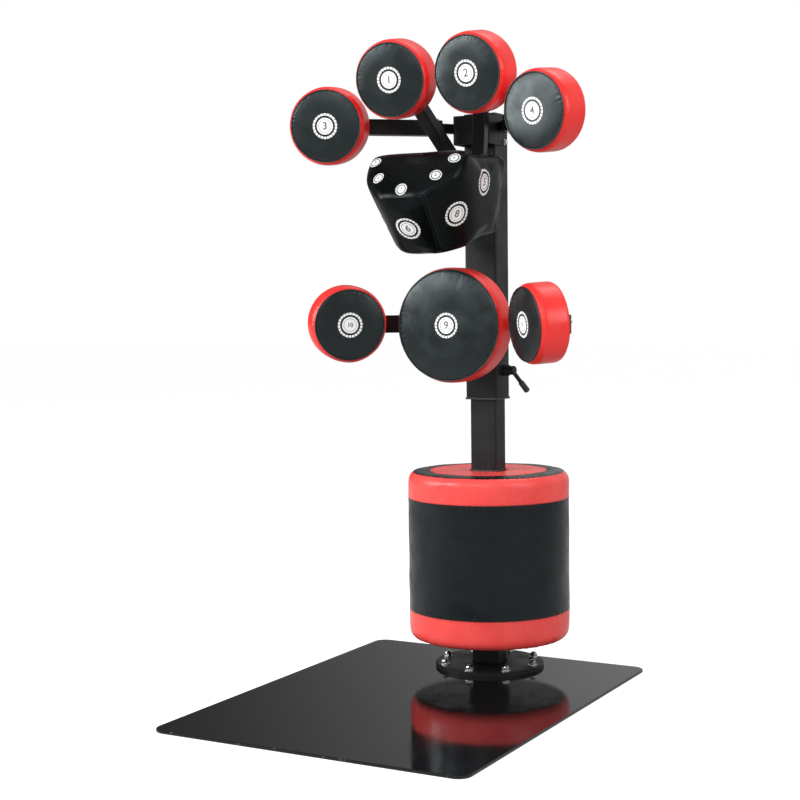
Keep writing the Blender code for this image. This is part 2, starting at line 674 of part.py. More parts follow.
def add_stub(bracket, front, level, width, plate_x, plate_z):
    """Box tube from a bracket's face plate forward to a mounting plate with a vent hole."""
    centre = (0.0, level)
    outer = rounded_rectangle(width, STUB_SIZE, SQUARE_TUBE_CORNER, centre=centre)
    inner = rounded_rectangle(width - 2 * STUB_WALL, STUB_SIZE - 2 * STUB_WALL,
                              SQUARE_TUBE_CORNER - STUB_WALL, centre=centre)
    tube = hollow_prism(outer, inner, front + MOUNT_PLATE / 2, BRACKET_FACE + WELD_BITE, axis="Y")
    plate = block(plate_x, (front, front + MOUNT_PLATE), plate_z)
    vent = cylinder(VENT_RADIUS, front - CUT_MARGIN, front + MOUNT_PLATE + CUT_MARGIN, "Y", centre, 20)
    unite(bracket, tube, plate)
    return cut(bracket, vent)


def build_hinge_block(mast):
    """Plate on the mast front with three lugs for the two inner arms, and their common pin."""
    outer = HINGE_BARREL_OUTER + GAP + HINGE_CHEEK
    z_range = (HINGE_PIN_Z - HINGE_PLATE_HEIGHT / 2, HINGE_PIN_Z + HINGE_PLATE_HEIGHT / 2)
    plate = block((-outer, outer), (BRACKET_FACE, MAST_FRONT - GAP), z_range)
    root = BRACKET_FACE + WELD_BITE - HINGE_PIN_Y
    lug_spans = [(-outer, -outer + HINGE_CHEEK), (-HINGE_BARREL_INNER + GAP, HINGE_BARREL_INNER - GAP),
                 (outer - HINGE_CHEEK, outer)]
    for low, high in lug_spans:
        lug = prism(tongue_outline(HINGE_BARREL_RADIUS, root), low, high, axis="X")
        unite(plate, in_frame(lug, Matrix.Translation((0.0, HINGE_PIN_Y, HINGE_PIN_Z))))
    reach = outer + CUT_MARGIN
    cut(plate, cylinder(PIN_RADIUS + GAP, -reach, reach, "X", (HINGE_PIN_Y, HINGE_PIN_Z)))
    finish(plate, "inner_hinge_block", "satin_black_steel", parent=mast)
    finish(pin_shape(outer + GAP, "X"), "inner_hinge_pin", "chrome",
           Matrix.Translation((0.0, HINGE_PIN_Y, HINGE_PIN_Z)), mast)


def pin_shape(half_grip, axis):
    """Round pin with a flat head at each end, centred on the origin."""
    head = half_grip + PIN_HEAD_HEIGHT
    profile = [(0.0, -head), (PIN_HEAD_RADIUS, -head), (PIN_HEAD_RADIUS, -half_grip),
               (PIN_RADIUS, -half_grip), (PIN_RADIUS, half_grip), (PIN_HEAD_RADIUS, half_grip),
               (PIN_HEAD_RADIUS, head), (0.0, head)]
    return turned(profile, 14, axis)


# ---------------------------------------------------------------- pads
def padded_disc(radius):
    """Cushion turned about local Y, with a pocket for its board at the back."""
    pocket = radius - PAD_RIM + GAP
    floor = -(PAD_BOARD_THICKNESS + GAP)
    face_edge = radius - PAD_FACE_INSET
    profile = [(pocket, 0.0), (radius - PAD_BACK_EDGE, 0.0), (radius, -PAD_BACK_EDGE)]
    profile += [(radius, -PAD_THICKNESS + PAD_FRONT_EDGE)]
    profile += [(radius - 0.4 * PAD_FACE_INSET, -PAD_THICKNESS + 0.36 * PAD_FRONT_EDGE)]
    profile += [(face_edge, -PAD_THICKNESS + 0.07 * PAD_FRONT_EDGE)]
    profile += [(face_edge * 0.6, -PAD_THICKNESS - PAD_CROWN * 0.6), (0.0, -PAD_THICKNESS - PAD_CROWN)]
    profile += [(0.0, floor), (pocket, floor)]
    return turned(profile, PAD_SEGMENTS, axis="Y")


def add_round_pad(name, frame, parent, radius):
    board = cylinder(radius - PAD_RIM, -PAD_BOARD_THICKNESS, 0.0, "Y", segments=PAD_SEGMENTS)
    finish(board, f"{name}_board", "plywood", frame, parent)
    finish(padded_disc(radius), f"{name}_pad", "black_vinyl", frame, parent)


def build_centre_pad(mast):
    frame = pad_frame(CENTRE_FACE, 0.0, 0.0, 0)
    add_round_pad("centre", frame, mast, CENTRE_PAD_RADIUS)


def build_uppercut_pad(mast):
    """Faceted uppercut cushion with a pocket for its board."""
    spare = Vector((0.0, 3 * UPPERCUT_EDGE, 0.0))
    top_back = Vector((SLOPE_TOP_CORNER.x, UPPERCUT_BACK, UPPERCUT_TOP))
    right = [CREASE_CORNER, SIDE_CORNER, SLOPE_TOP_CORNER, FRONT_BOTTOM_CORNER, SIDE_BOTTOM_CORNER,
             BACK_BOTTOM_CORNER + spare, top_back + spare]
    bm = bmesh.new()
    for corner in right:
        bm.verts.new(corner)
        bm.verts.new((-corner.x, corner.y, corner.z))
    bmesh.ops.convex_hull(bm, input=bm.verts)
    flat = math.radians(UPPERCUT_FLAT_ANGLE)
    bmesh.ops.dissolve_limit(bm, angle_limit=flat, verts=bm.verts, edges=bm.edges)
    bmesh.ops.bevel(bm, geom=bm.edges, offset=UPPERCUT_EDGE, segments=3, affect="EDGES", profile=0.5)
    pad = shape(bm)
    all_over = (-FAR, 2 * FAR)
    cut(pad, block(all_over, (UPPERCUT_BACK, FAR + POST_Y), all_over))
    half = UPPERCUT_BOARD_WIDTH / 2
    front = UPPERCUT_BACK - PAD_BOARD_THICKNESS
    pocket = block((-half - GAP, half + GAP), (front - GAP, UPPERCUT_BACK + CUT_MARGIN),
                   (UPPERCUT_BOARD_BOTTOM - GAP, UPPERCUT_BOARD_TOP + GAP))
    cut(pad, pocket)
    finish(pad, "uppercut_pad", "black_vinyl", parent=mast)
    board = block((-half, half), (front, UPPERCUT_BACK), (UPPERCUT_BOARD_BOTTOM, UPPERCUT_BOARD_TOP))
    finish(board, "uppercut_board", "plywood", parent=mast)


def build_uppercut_bracket(mast):
    """Welded bracket that holds the uppercut pad off the mast."""
    half = MAST_WIDTH / 2 - TUBE_CORNER / 2
    level = UPPERCUT_STUB_Z
    z_range = (level - UPPERCUT_WALL_PLATE_BELOW, level + UPPERCUT_WALL_PLATE_ABOVE)
    bracket = block((-half, half), (BRACKET_FACE, MAST_FRONT - GAP), z_range)
    reach = UPPERCUT_PLATE_WIDTH / 2
    add_stub(bracket, UPPERCUT_BACK + GAP, level, UPPERCUT_STUB_WIDTH,
             (-reach, reach), (level - UPPERCUT_PLATE_BELOW, level + UPPERCUT_PLATE_ABOVE))
    finish(bracket, "uppercut_bracket", "satin_black_steel", parent=mast)


# ---------------------------------------------------------------- arms
def fork_arm(width, height, length):
    """Square tube along +X whose near end is a fork about a vertical pin at the origin."""
    outline = tongue_outline(width / 2, length)
    arm = prism(outline, -height / 2, height / 2)
    inner_y = width / 2 - ARM_WALL
    inner_z = height / 2 - ARM_WALL
    hollow = (FORK_SLOT - WELD_BITE, length + CUT_MARGIN)
    cut(arm, block(hollow, (-inner_y, inner_y), (-inner_z, inner_z)))
    slot_z = LUG_HEIGHT / 2 + GAP
    cut(arm, block((-width, FORK_SLOT), (-width, width), (-slot_z, slot_z)))
    cut(arm, cylinder(PIN_RADIUS + GAP, -height, height))
    return arm


def add_pin_and_buffer(name, arm_frame, width, height, mast, body):
    """The vertical hinge pin and the rubber buffer behind the lug in a fork."""
    finish(pin_shape(height / 2 + GAP, "Z"), f"{name}_pin", "chrome", arm_frame, mast)
    half = width / 2 - BUFFER_INSET
    x_range = (LUG_RADIUS + GAP, FORK_SLOT - BUFFER_INSET)
    buffer = block(x_range, (-half, half), (-LUG_HEIGHT / 2, LUG_HEIGHT / 2))
    finish(buffer, f"{name}_buffer", "rubber", arm_frame, body)


def build_outer_arm(mast, side, label):
    """Straight arm from the head bracket out to a head pad."""
    name = f"outer_{label}"
    pad = pad_frame(OUTER_FACE, OUTER_YAW, OUTER_TILT, side)
    pin = Vector((side * OUTER_PIN.x, OUTER_PIN.y, OUTER_PIN.z))
    target = Vector((pad.translation.x, pad.translation.y, pin.z))
    frame = aimed_frame(pin, target)
    body = joint_empty(f"{name}_axis", frame, mast)
    length = (target - pin).length
    arm = fork_arm(OUTER_ARM_WIDTH, OUTER_ARM_HEIGHT, length + PAD_THICKNESS)
    to_arm = frame.inverted() @ pad
    cut(arm, in_frame(half_space(GAP + MOUNT_PLATE / 2), to_arm))
    add_mount_plate(arm, to_arm, *OUTER_PLATE)
    finish(arm, f"{name}_arm", "satin_black_steel", frame, body)
    add_pin_and_buffer(name, frame, OUTER_ARM_WIDTH, OUTER_ARM_HEIGHT, mast, body)
    add_round_pad(name, pad, body, PAD_RADIUS)


def half_space(limit):
    """Cutting block that takes all that lies in front of a plane across a pad's frame."""
    all_over = (-FAR, FAR)
    return block(all_over, (-FAR, limit), all_over)


def add_mount_plate(arm, to_arm, width, height):
    """Plate welded to an arm, flat against the back of a pad."""
    plate = block((-width / 2, width / 2), (GAP, GAP + MOUNT_PLATE), (-height / 2, height / 2))
    return unite(arm, in_frame(plate, to_arm))


def build_side_arm(mast, side, label):
    """Arm that runs past the back of a side pad of the middle row."""
    name = f"side_{label}"
    pad = pad_frame(SIDE_FACE, SIDE_YAW, SIDE_TILT, side)
    pin = Vector((side * SIDE_PIN.x, SIDE_PIN.y, SIDE_PIN.z))
    behind = pad @ Vector((0.0, GAP + MOUNT_PLATE + SIDE_ARM_WIDTH / 2, 0.0))
    target = Vector((behind.x, behind.y, pin.z))
    frame = aimed_frame(pin, target)
    body = joint_empty(f"{name}_axis", frame, mast)
    length = (target - pin).length + SIDE_ARM_TAIL
    arm = fork_arm(SIDE_ARM_WIDTH, SIDE_ARM_HEIGHT, length)
    to_arm = frame.inverted() @ pad
    cut(arm, in_frame(half_space(GAP + MOUNT_PLATE / 2), to_arm))
    add_mount_plate(arm, to_arm, *SIDE_PLATE)
    finish(arm, f"{name}_arm", "satin_black_steel", frame, body)
    add_pin_and_buffer(name, frame, SIDE_ARM_WIDTH, SIDE_ARM_HEIGHT, mast, body)
    add_round_pad(name, pad, body, PAD_RADIUS)


def build_inner_arm(mast, side, label):
    """Rising arm from the hinge block up to one of the two top pads."""
    name = f"inner_{label}"
    pad = pad_frame(INNER_FACE, INNER_YAW, INNER_TILT, side)
    pin = Vector((side * (HINGE_BARREL_INNER + HINGE_BARREL_OUTER) / 2, HINGE_PIN_Y, HINGE_PIN_Z))
    frame = Matrix.Translation(pin)
    body = joint_empty(f"{name}_axis", frame, mast)
    to_arm = frame.inverted() @ pad
    end = pad.translation - pin
    knee = Vector((0.0, end.y, end.z)).normalized() * TONGUE_LENGTH
    arm = hinge_barrel(knee)
    tube, hollow, weep = rising_tube(knee, end, to_arm)
    unite(arm, tube)
    add_mount_plate(arm, to_arm, *INNER_PLATE)
    cut(arm, hollow, weep, cylinder(PIN_RADIUS + GAP, -HINGE_BARREL_OUTER, HINGE_BARREL_OUTER, "X"))
    finish(arm, f"{name}_arm", "satin_black_steel", frame, body)
    add_round_pad(name, pad, body, PAD_RADIUS)


def hinge_barrel(knee):
    """Barrel about the local X axis with a solid tongue up to the knee of an inner arm."""
    half = (HINGE_BARREL_OUTER - HINGE_BARREL_INNER) / 2
    depth = HINGE_BARREL_RADIUS - WELD_BITE
    barrel = cylinder(HINGE_BARREL_RADIUS, -half, half, "X", segments=28)
    tongue = block((TONGUE_START, TONGUE_LENGTH), (-depth, depth), (-half + GAP, half - GAP))
    to_knee = aimed_frame(Vector((0.0, 0.0, 0.0)), knee, Vector((1.0, 0.0, 0.0)))
    return unite(barrel, in_frame(tongue, to_knee))


def rising_tube(knee, end, to_arm):
    """Square tube from the knee to a pad, as a solid bar, its hollow and its weep hole."""
    place = aimed_frame(knee, end, Vector((1.0, 0.0, 0.0)))
    reach = (end - knee).length + INNER_ARM_SIZE
    outer = rounded_rectangle(INNER_ARM_SIZE, INNER_ARM_SIZE, SQUARE_TUBE_CORNER)
    clear = INNER_ARM_SIZE - 2 * ARM_WALL
    inner = rounded_rectangle(clear, clear, SQUARE_TUBE_CORNER - ARM_WALL)
    tube = in_frame(prism(outer, -CUT_MARGIN, reach, axis="X"), place)
    cut(tube, in_frame(half_space(GAP + MOUNT_PLATE / 2), to_arm))
    hollow = in_frame(prism(inner, 2 * ARM_WALL, reach, axis="X"), place)
    cut(hollow, in_frame(half_space(GAP + MOUNT_PLATE + WELD_BITE), to_arm))
    weep = in_frame(cylinder(WEEP_RADIUS, -INNER_ARM_SIZE, 0.0, "Y", (WEEP_PLACE, 0.0), 12), place)
    return tube, hollow, weep


# ---------------------------------------------------------------- clamp
def build_clamp(mast):
    """Clamp screw with its lever, and the shoe it presses on the post."""
    side = MAST_WIDTH / 2
    hub_start = side + CLAMP_BOSS_LENGTH + GAP
    hub_end = hub_start + CLAMP_HUB_LENGTH
    shoe_start = POST_WIDTH / 2 + GAP
    shoe_end = side - MAST_WALL - GAP
    pivot = Matrix.Translation((0.0, POST_Y, CLAMP_Z))
    body = joint_empty("clamp_axis", pivot, mast)
    profile = [(0.0, shoe_end + GAP), (CLAMP_SCREW_RADIUS, shoe_end + GAP), (CLAMP_SCREW_RADIUS, hub_start),
               (CLAMP_HUB_RADIUS, hub_start), (CLAMP_HUB_RADIUS, hub_end - CLAMP_HUB_EDGE),
               (CLAMP_HUB_RADIUS - CLAMP_HUB_EDGE, hub_end), (0.0, hub_end)]
    lever = turned(profile, 28, "X")
    bar_profile = [(0.0, 0.0), (LEVER_RADIUS, 0.0), (LEVER_RADIUS, LEVER_LENGTH - LEVER_KNOB_LENGTH)]
    bar_profile += [(LEVER_KNOB_RADIUS, LEVER_LENGTH - LEVER_KNOB_LENGTH / 2)]
    bar_profile += [(LEVER_RADIUS, LEVER_LENGTH - LEVER_KNOB_LENGTH / 12), (0.0, LEVER_LENGTH)]
    bar = turned(bar_profile, 16, "X")
    drop = math.radians(LEVER_DROP)
    cone = math.radians(LEVER_CONE)
    aim = Vector((math.sin(cone), math.cos(cone) * math.cos(drop), -math.cos(cone) * math.sin(drop)))
    start = Vector((hub_start + CLAMP_HUB_LENGTH / 2, 0.0, 0.0))
    unite(lever, in_frame(bar, aimed_frame(start, start + aim)))
    finish(lever, "clamp_lever", "satin_black_steel", pivot, body)
    shoe = cylinder(SHOE_RADIUS, shoe_start, shoe_end, "X", segments=24)
    finish(shoe, "clamp_shoe", "chrome", pivot, mast)


def main():
    clear_scene()
    for name, (colour, roughness, metallic) in FINISHES.items():
        make_material(name, colour, roughness, metallic)
    build_base_plate()
    build_flange()
    build_flange_bolts()
    build_lower_post()
    build_post_guide()
    build_drum()
    mast = joint_empty("mast_axis", Matrix.Translation((0.0, POST_Y, MAST_BOTTOM)))
    build_mast(mast)
    build_head_bracket(mast)
    build_mid_bracket(mast)
    build_hinge_block(mast)
    build_centre_pad(mast)
    build_uppercut_pad(mast)
    build_uppercut_bracket(mast)
    build_clamp(mast)
    for side, label in ((-1, "left"), (1, "right")):
        build_outer_arm(mast, side, label)
        build_side_arm(mast, side, label)
        build_inner_arm(mast, side, label)


main()
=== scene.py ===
import math

import bmesh
import bpy
import numpy as np
from mathutils import Matrix, Vector, noise
from mathutils.bvhtree import BVHTree


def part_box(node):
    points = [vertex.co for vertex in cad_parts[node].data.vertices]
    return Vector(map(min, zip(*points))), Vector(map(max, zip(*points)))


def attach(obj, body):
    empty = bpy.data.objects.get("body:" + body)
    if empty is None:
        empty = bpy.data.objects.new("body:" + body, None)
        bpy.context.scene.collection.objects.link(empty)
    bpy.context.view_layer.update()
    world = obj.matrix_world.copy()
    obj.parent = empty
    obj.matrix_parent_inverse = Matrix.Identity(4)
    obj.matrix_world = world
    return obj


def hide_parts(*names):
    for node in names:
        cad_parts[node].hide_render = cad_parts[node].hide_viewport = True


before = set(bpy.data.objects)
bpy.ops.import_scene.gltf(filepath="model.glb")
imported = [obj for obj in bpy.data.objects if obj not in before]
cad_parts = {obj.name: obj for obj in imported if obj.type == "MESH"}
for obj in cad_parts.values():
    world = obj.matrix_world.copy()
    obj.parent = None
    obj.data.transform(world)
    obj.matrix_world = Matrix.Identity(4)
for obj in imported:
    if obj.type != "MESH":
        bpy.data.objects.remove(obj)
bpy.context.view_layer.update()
bpy.ops.object.select_all(action="DESELECT")


# ---------------------------------------------------------------- base plate
# The plate that the boxer stands on is 8 mm steel sheet with rounded corners, ground flat and
# sprayed with gloss black enamel, which shows orange peel, wiped smears and scuffs from shoes.
def add_node(finish, kind, inputs=(), **settings):
    """One shader node, with its settings, and its inputs as plain values or as links."""
    node = finish.node_tree.nodes.new("ShaderNode" + kind)
    for name, value in settings.items():
        setattr(node, name, value)
    for socket, value in dict(inputs).items():
        if isinstance(value, bpy.types.NodeSocket):
            finish.node_tree.links.new(value, node.inputs[socket])
        else:
            node.inputs[socket].default_value = value
    return node


def start_finish(name, colour, roughness, metallic=0.0):
    """A new finish with its shader, and the piece's own coordinates for its patterns."""
    finish = bpy.data.materials.new(name)
    finish.use_nodes = True
    finish.diffuse_color = (*colour, 1.0)
    shader = finish.node_tree.nodes["Principled BSDF"]
    shader.inputs["Base Color"].default_value = (*colour, 1.0)
    shader.inputs["Roughness"].default_value = roughness
    shader.inputs["Metallic"].default_value = metallic
    place = add_node(finish, "TexCoord").outputs["Object"]
    return finish, shader, place


def stretched(finish, place, scale, turn=(0.0, 0.0, 0.0)):
    """Coordinates drawn out or squeezed, for brushed, wiped and grained patterns."""
    return add_node(finish, "Mapping", {"Vector": place, "Scale": scale, "Rotation": turn}).outputs[0]


def speckle(finish, place, scale, detail=3.0):
    """Soft noise from 0 to 1, with this many lumps a metre."""
    lumps = add_node(finish, "TexNoise", {"Vector": place, "Scale": scale, "Detail": detail})
    return lumps.outputs["Fac"]


def remap(finish, value, start, end, low=0.0, high=1.0):
    """Value from start to end turned smoothly into low to high."""
    inputs = {"Value": value, "From Min": start, "From Max": end, "To Min": low, "To Max": high}
    return add_node(finish, "MapRange", inputs, interpolation_type="SMOOTHSTEP").outputs[0]


def figure(finish, operation, first, second=0.0):
    """One sum of two numbers."""
    return add_node(finish, "Math", {0: first, 1: second}, operation=operation).outputs[0]


def mix_colours(finish, share, first, second):
    """The first colour where share is 0, the second where it is 1."""
    first, second = [c if isinstance(c, bpy.types.NodeSocket) else (*c, 1.0) for c in (first, second)]
    return add_node(finish, "Mix", {0: share, 6: first, 7: second}, data_type="RGBA").outputs[2]


def link(finish, value, shader, socket):
    finish.node_tree.links.new(value, shader.inputs[socket])


def emboss(finish, shader, height, distance, strength):
    """Bump from a height of 0 to 1, this many metres deep."""
    bump = add_node(finish, "Bump", {"Height": height, "Distance": distance, "Strength": strength})
    link(finish, bump.outputs[0], shader, "Normal")


def box_edge(finish, place, middle, half, start, end):
    """0 inside an upright box and 1 along its outer edges, by the larger of two distances."""
    parts = add_node(finish, "SeparateXYZ", {0: place}).outputs
    reach = []
    for part, centre, size in zip(parts, middle, half):
        away = figure(finish, "ABSOLUTE", figure(finish, "SUBTRACT", part, centre))
        reach.append(figure(finish, "DIVIDE", away, size))
    return reach, remap(finish, figure(finish, "MAXIMUM", *reach), start, end)


def wear_on(finish, place, where, scale, low, high):
    """Broken patches of wear inside a masked place."""
    patches = remap(finish, speckle(finish, place, scale, 5.0), low, high)
    return figure(finish, "MULTIPLY", patches, where)


plate_low, plate_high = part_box("base_plate")
black_enamel = (0.007, 0.007, 0.008)
scuffed_enamel = (0.030, 0.030, 0.032)
bare_steel = (0.085, 0.083, 0.080)
enamel, shader, place = start_finish("gloss_enamel", black_enamel, 0.09)
shader.inputs["IOR"].default_value = 1.42
wipe = stretched(enamel, place, (3.0, 0.6, 1.0), (0.0, 0.0, 0.5))
smears = remap(enamel, speckle(enamel, wipe, 2.2, 5.0), 0.40, 0.72, 0.055, 0.13)
hairlines = stretched(enamel, place, (5.0, 170.0, 1.0), (0.0, 0.0, 0.9))
scratches = remap(enamel, speckle(enamel, hairlines, 2.0, 3.0), 0.70, 0.76)
worn_steps = remap(enamel, speckle(enamel, place, 3.1, 4.0), 0.50, 0.66)
scuffs = figure(enamel, "MULTIPLY", scratches, worn_steps)
plate_middle = (plate_low + plate_high) / 2
plate_half = (plate_high - plate_low) / 2
_, rim = box_edge(enamel, place, plate_middle[:2], plate_half[:2], 0.9965, 0.9995)
chips = wear_on(enamel, place, rim, 38.0, 0.62, 0.72)
scuffed = mix_colours(enamel, scuffs, black_enamel, scuffed_enamel)
link(enamel, mix_colours(enamel, chips, scuffed, bare_steel), shader, "Base Color")
roughness = figure(enamel, "ADD", smears, figure(enamel, "MULTIPLY", scuffs, 0.22))
link(enamel, figure(enamel, "ADD", roughness, figure(enamel, "MULTIPLY", chips, 0.4)), shader, "Roughness")
peel = figure(enamel, "ADD", speckle(enamel, place, 240.0, 2.0), figure(enamel, "MULTIPLY", scuffs, -0.3))
emboss(enamel, shader, peel, 0.00025, 0.10)


def coat_node(node, finish):
    """Give a part of the frame its finish."""
    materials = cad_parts[node].data.materials
    materials.clear()
    materials.append(finish)


coat_node("base_plate", enamel)


# ---------------------------------------------------------------- frame finishes
# Tubes, brackets and arms are welded mild steel in satin black powder coat, rubbed thin at corners.
# Fasteners are bright zinc and chrome, bushes and caps black nylon, buffers black rubber.
def powder_coat(name, middle=None, half=None):
    """Satin powder coat, with bare metal along the upright corners of a tube if its box is given."""
    coat, surface, spot = start_finish(name, (0.010, 0.011, 0.012), 0.40)
    surface.inputs["Specular IOR Level"].default_value = 0.22
    handled = remap(coat, speckle(coat, spot, 14.0, 4.0), 0.35, 0.70, 0.34, 0.50)
    tone = mix_colours(coat, speckle(coat, spot, 9.0), (0.007, 0.008, 0.009), (0.014, 0.015, 0.016))
    drawn = stretched(coat, spot, (60.0, 60.0, 4.0))
    rubs = remap(coat, speckle(coat, drawn, 1.6, 4.0), 0.66, 0.76, 0.0, 0.6)
    tone = mix_colours(coat, rubs, tone, (0.034, 0.035, 0.037))
    if middle is not None:
        reach, _ = box_edge(coat, spot, middle, half, 0.9, 1.0)
        corner = remap(coat, figure(coat, "ADD", *reach), 1.925, 1.965)
        bare = wear_on(coat, spot, corner, 30.0, 0.55, 0.68)
        tone = mix_colours(coat, bare, tone, (0.16, 0.155, 0.15))
    link(coat, tone, surface, "Base Color")
    link(coat, handled, surface, "Roughness")
    pebble = figure(coat, "ADD", speckle(coat, spot, 1500.0, 2.0), speckle(coat, spot, 420.0, 1.0))
    emboss(coat, surface, pebble, 0.00012, 0.30)
    return coat


def bright_metal(name, colour, low, high):
    """Plated metal with a turned finish and dull handling marks."""
    plating, surface, spot = start_finish(name, colour, low, 1.0)
    turned = stretched(plating, spot, (900.0, 900.0, 120.0))
    marks = remap(plating, speckle(plating, turned, 1.0, 2.0), 0.3, 0.7, low, high)
    stain = remap(plating, speckle(plating, spot, 160.0, 4.0), 0.5, 0.8, 0.0, 0.45)
    dull = tuple(0.55 * part for part in colour)
    link(plating, mix_colours(plating, stain, colour, dull), surface, "Base Color")
    link(plating, marks, surface, "Roughness")
    emboss(plating, surface, speckle(plating, spot, 1100.0, 2.0), 0.00006, 0.2)
    return plating


def moulded(name, colour, roughness, scale, depth):
    """Moulded plastic or rubber with a fine sparked grain."""
    plastic, surface, spot = start_finish(name, colour, roughness)
    lighter = tuple(min(1.7 * part, part + 0.05) for part in colour)
    scuffed = remap(plastic, speckle(plastic, spot, 60.0, 5.0), 0.45, 0.75)
    link(plastic, mix_colours(plastic, scuffed, colour, lighter), surface, "Base Color")
    spread = remap(plastic, speckle(plastic, spot, 25.0), 0.3, 0.7, roughness - 0.07, roughness + 0.08)
    link(plastic, spread, surface, "Roughness")
    emboss(plastic, surface, speckle(plastic, spot, scale, 2.0), depth, 0.35)
    return plastic


steel = powder_coat("satin_powder_coat")
for tube in ("lower_post", "mast_tube"):
    low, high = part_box(tube)
    if tube == "mast_tube":
        high.x = -low.x
    coat_node(tube, powder_coat(tube + "_powder_coat", ((low + high) / 2)[:2], ((high - low) / 2)[:2]))
chrome = bright_metal("bright_chrome", (0.74, 0.74, 0.76), 0.10, 0.26)
zinc = bright_metal("bright_zinc", (0.62, 0.63, 0.64), 0.20, 0.38)
nylon = moulded("black_nylon_moulding", (0.020, 0.020, 0.021), 0.50, 900.0, 0.00010)
rubber = moulded("black_rubber_moulding", (0.018, 0.018, 0.018), 0.78, 700.0, 0.00015)

plywood, shader, place = start_finish("birch_plywood", (0.47, 0.31, 0.17), 0.62)
along = stretched(plywood, place, (9.0, 9.0, 70.0))
rings = speckle(plywood, along, 1.5, 6.0)
fibres = speckle(plywood, stretched(plywood, place, (40.0, 40.0, 900.0)), 1.0, 3.0)
grain = figure(plywood, "ADD", rings, figure(plywood, "MULTIPLY", fibres, 0.35))
tone = mix_colours(plywood, remap(plywood, grain, 0.45, 0.85), (0.52, 0.36, 0.20), (0.33, 0.20, 0.10))
link(plywood, tone, shader, "Base Color")
link(plywood, remap(plywood, fibres, 0.3, 0.7, 0.52, 0.72), shader, "Roughness")
emboss(plywood, shader, grain, 0.0002, 0.4)

card = moulded("kraft_card", (0.36, 0.25, 0.15), 0.80, 500.0, 0.00020)

steel_words = ("flange", "collar", "bracket", "hinge_block", "arm", "lever")
chrome_words = ("bolt", "pin", "shoe")
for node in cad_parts:
    if node.endswith("board") or "_board_" in node:
        coat_node(node, plywood)
    elif node.endswith("core_tube"):
        coat_node(node, card)
    elif node.endswith(("bush", "cap")):
        coat_node(node, nylon)
    elif node.endswith("buffer"):
        coat_node(node, rubber)
    elif any(word in node for word in chrome_words):
        coat_node(node, chrome)
    elif any(word in node for word in steel_words):
        coat_node(node, steel)


# ---------------------------------------------------------------- weld beads
# The post is welded to its flange, and each arm and stub to its plate, with a single run of bead
# about 5 mm wide, rippled by the torch and coated with the rest of the frame.
def chained(edges):
    """Rings of points from loose edges, begun at the last edge that is still free."""
    rings = []
    free = dict.fromkeys(edges)
    while free:
        edge, _ = free.popitem()
        ring = [edge.verts[0], edge.verts[1]]
        growing = True
        while growing:
            growing = False
            for link_edge in ring[-1].link_edges:
                if link_edge in free:
                    del free[link_edge]
                    ring.append(link_edge.other_vert(ring[-1]))
                    growing = True
                    break
        rings.append([vert.co.copy() for vert in ring])
    return rings


def ring_length(ring):
    return sum((b - a).length for a, b in zip(ring, ring[1:]))


def outline_of(node, point, normal):
    """The longest ring in which a plane cuts a part of the frame."""
    bm = bmesh.new()
    bm.from_mesh(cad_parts[node].data)
    bmesh.ops.remove_doubles(bm, verts=bm.verts, dist=0.00002)
    everything = bm.verts[:] + bm.edges[:] + bm.faces[:]
    cut = bmesh.ops.bisect_plane(bm, geom=everything, plane_co=point, plane_no=normal, dist=0.0)
    edges = [part for part in cut["geom_cut"] if isinstance(part, bmesh.types.BMEdge)]
    rings = chained(edges)
    bm.free()
    return max(rings, key=ring_length)


def walk(ring, step):
    """Evenly spaced points along a ring."""
    points = []
    carry = 0.0
    for a, b in zip(ring, ring[1:]):
        length = (b - a).length
        place_along = carry
        while place_along < length:
            points.append(a.lerp(b, place_along / length))
            place_along += step
        carry = place_along - length
    return points


def stand(name, mesh):
    """Put a mesh in the scene as a new piece."""
    piece = bpy.data.objects.new(name, mesh)
    bpy.context.scene.collection.objects.link(piece)
    return piece


weld_width = 0.0026
bead_step = 0.0016
bead_sides = 8


def lay_bead(name, ring, width, finish):
    """A closed run of rippled bead along a ring."""
    points = walk(ring, bead_step)
    if (points[-1] - points[0]).length < 0.6 * bead_step:
        points.pop()
    count = len(points)
    middle = sum(points, Vector()) / count
    bm = bmesh.new()
    rounds = []
    for index, point in enumerate(points):
        along = (points[(index + 1) % count] - points[index - 1]).normalized()
        out = (point - middle - along * along.dot(point - middle)).normalized()
        up = along.cross(out)
        ripple = 1.0 + 0.16 * math.sin(index * 2.1) + 0.22 * noise.noise(point * 190.0)
        row = []
        for side in range(bead_sides):
            angle = math.tau * side / bead_sides
            spoke = out * math.cos(angle) + up * math.sin(angle)
            row.append(bm.verts.new(point + width * ripple * spoke))
        rounds.append(row)
    for index in range(count):
        first, second = rounds[index], rounds[(index + 1) % count]
        for side in range(bead_sides):
            after = (side + 1) % bead_sides
            bm.faces.new((first[side], first[after], second[after], second[side]))
    bmesh.ops.recalc_face_normals(bm, faces=bm.faces)
    mesh = bpy.data.meshes.new(name)
    bm.to_mesh(mesh)
    bm.free()
    mesh.materials.append(finish)
    mesh.shade_smooth()
    return stand(name, mesh)


def weld(name, node, point, normal, body):
    """A run of weld round a part of the frame, where a plane cuts it."""
    bead = lay_bead(name, outline_of(node, point, normal), weld_width, steel)
    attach(bead, body)


upright = Vector((0.0, 0.0, 1.0))
post_low, post_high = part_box("lower_post")
weld("post_foot_weld", "lower_post", post_low + upright * 0.002, upright, "base")
below_collar = Vector((0.0, 0.0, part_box("drum_support_collar")[0].z - 0.001))
weld("collar_weld", "lower_post", below_collar, upright, "base")

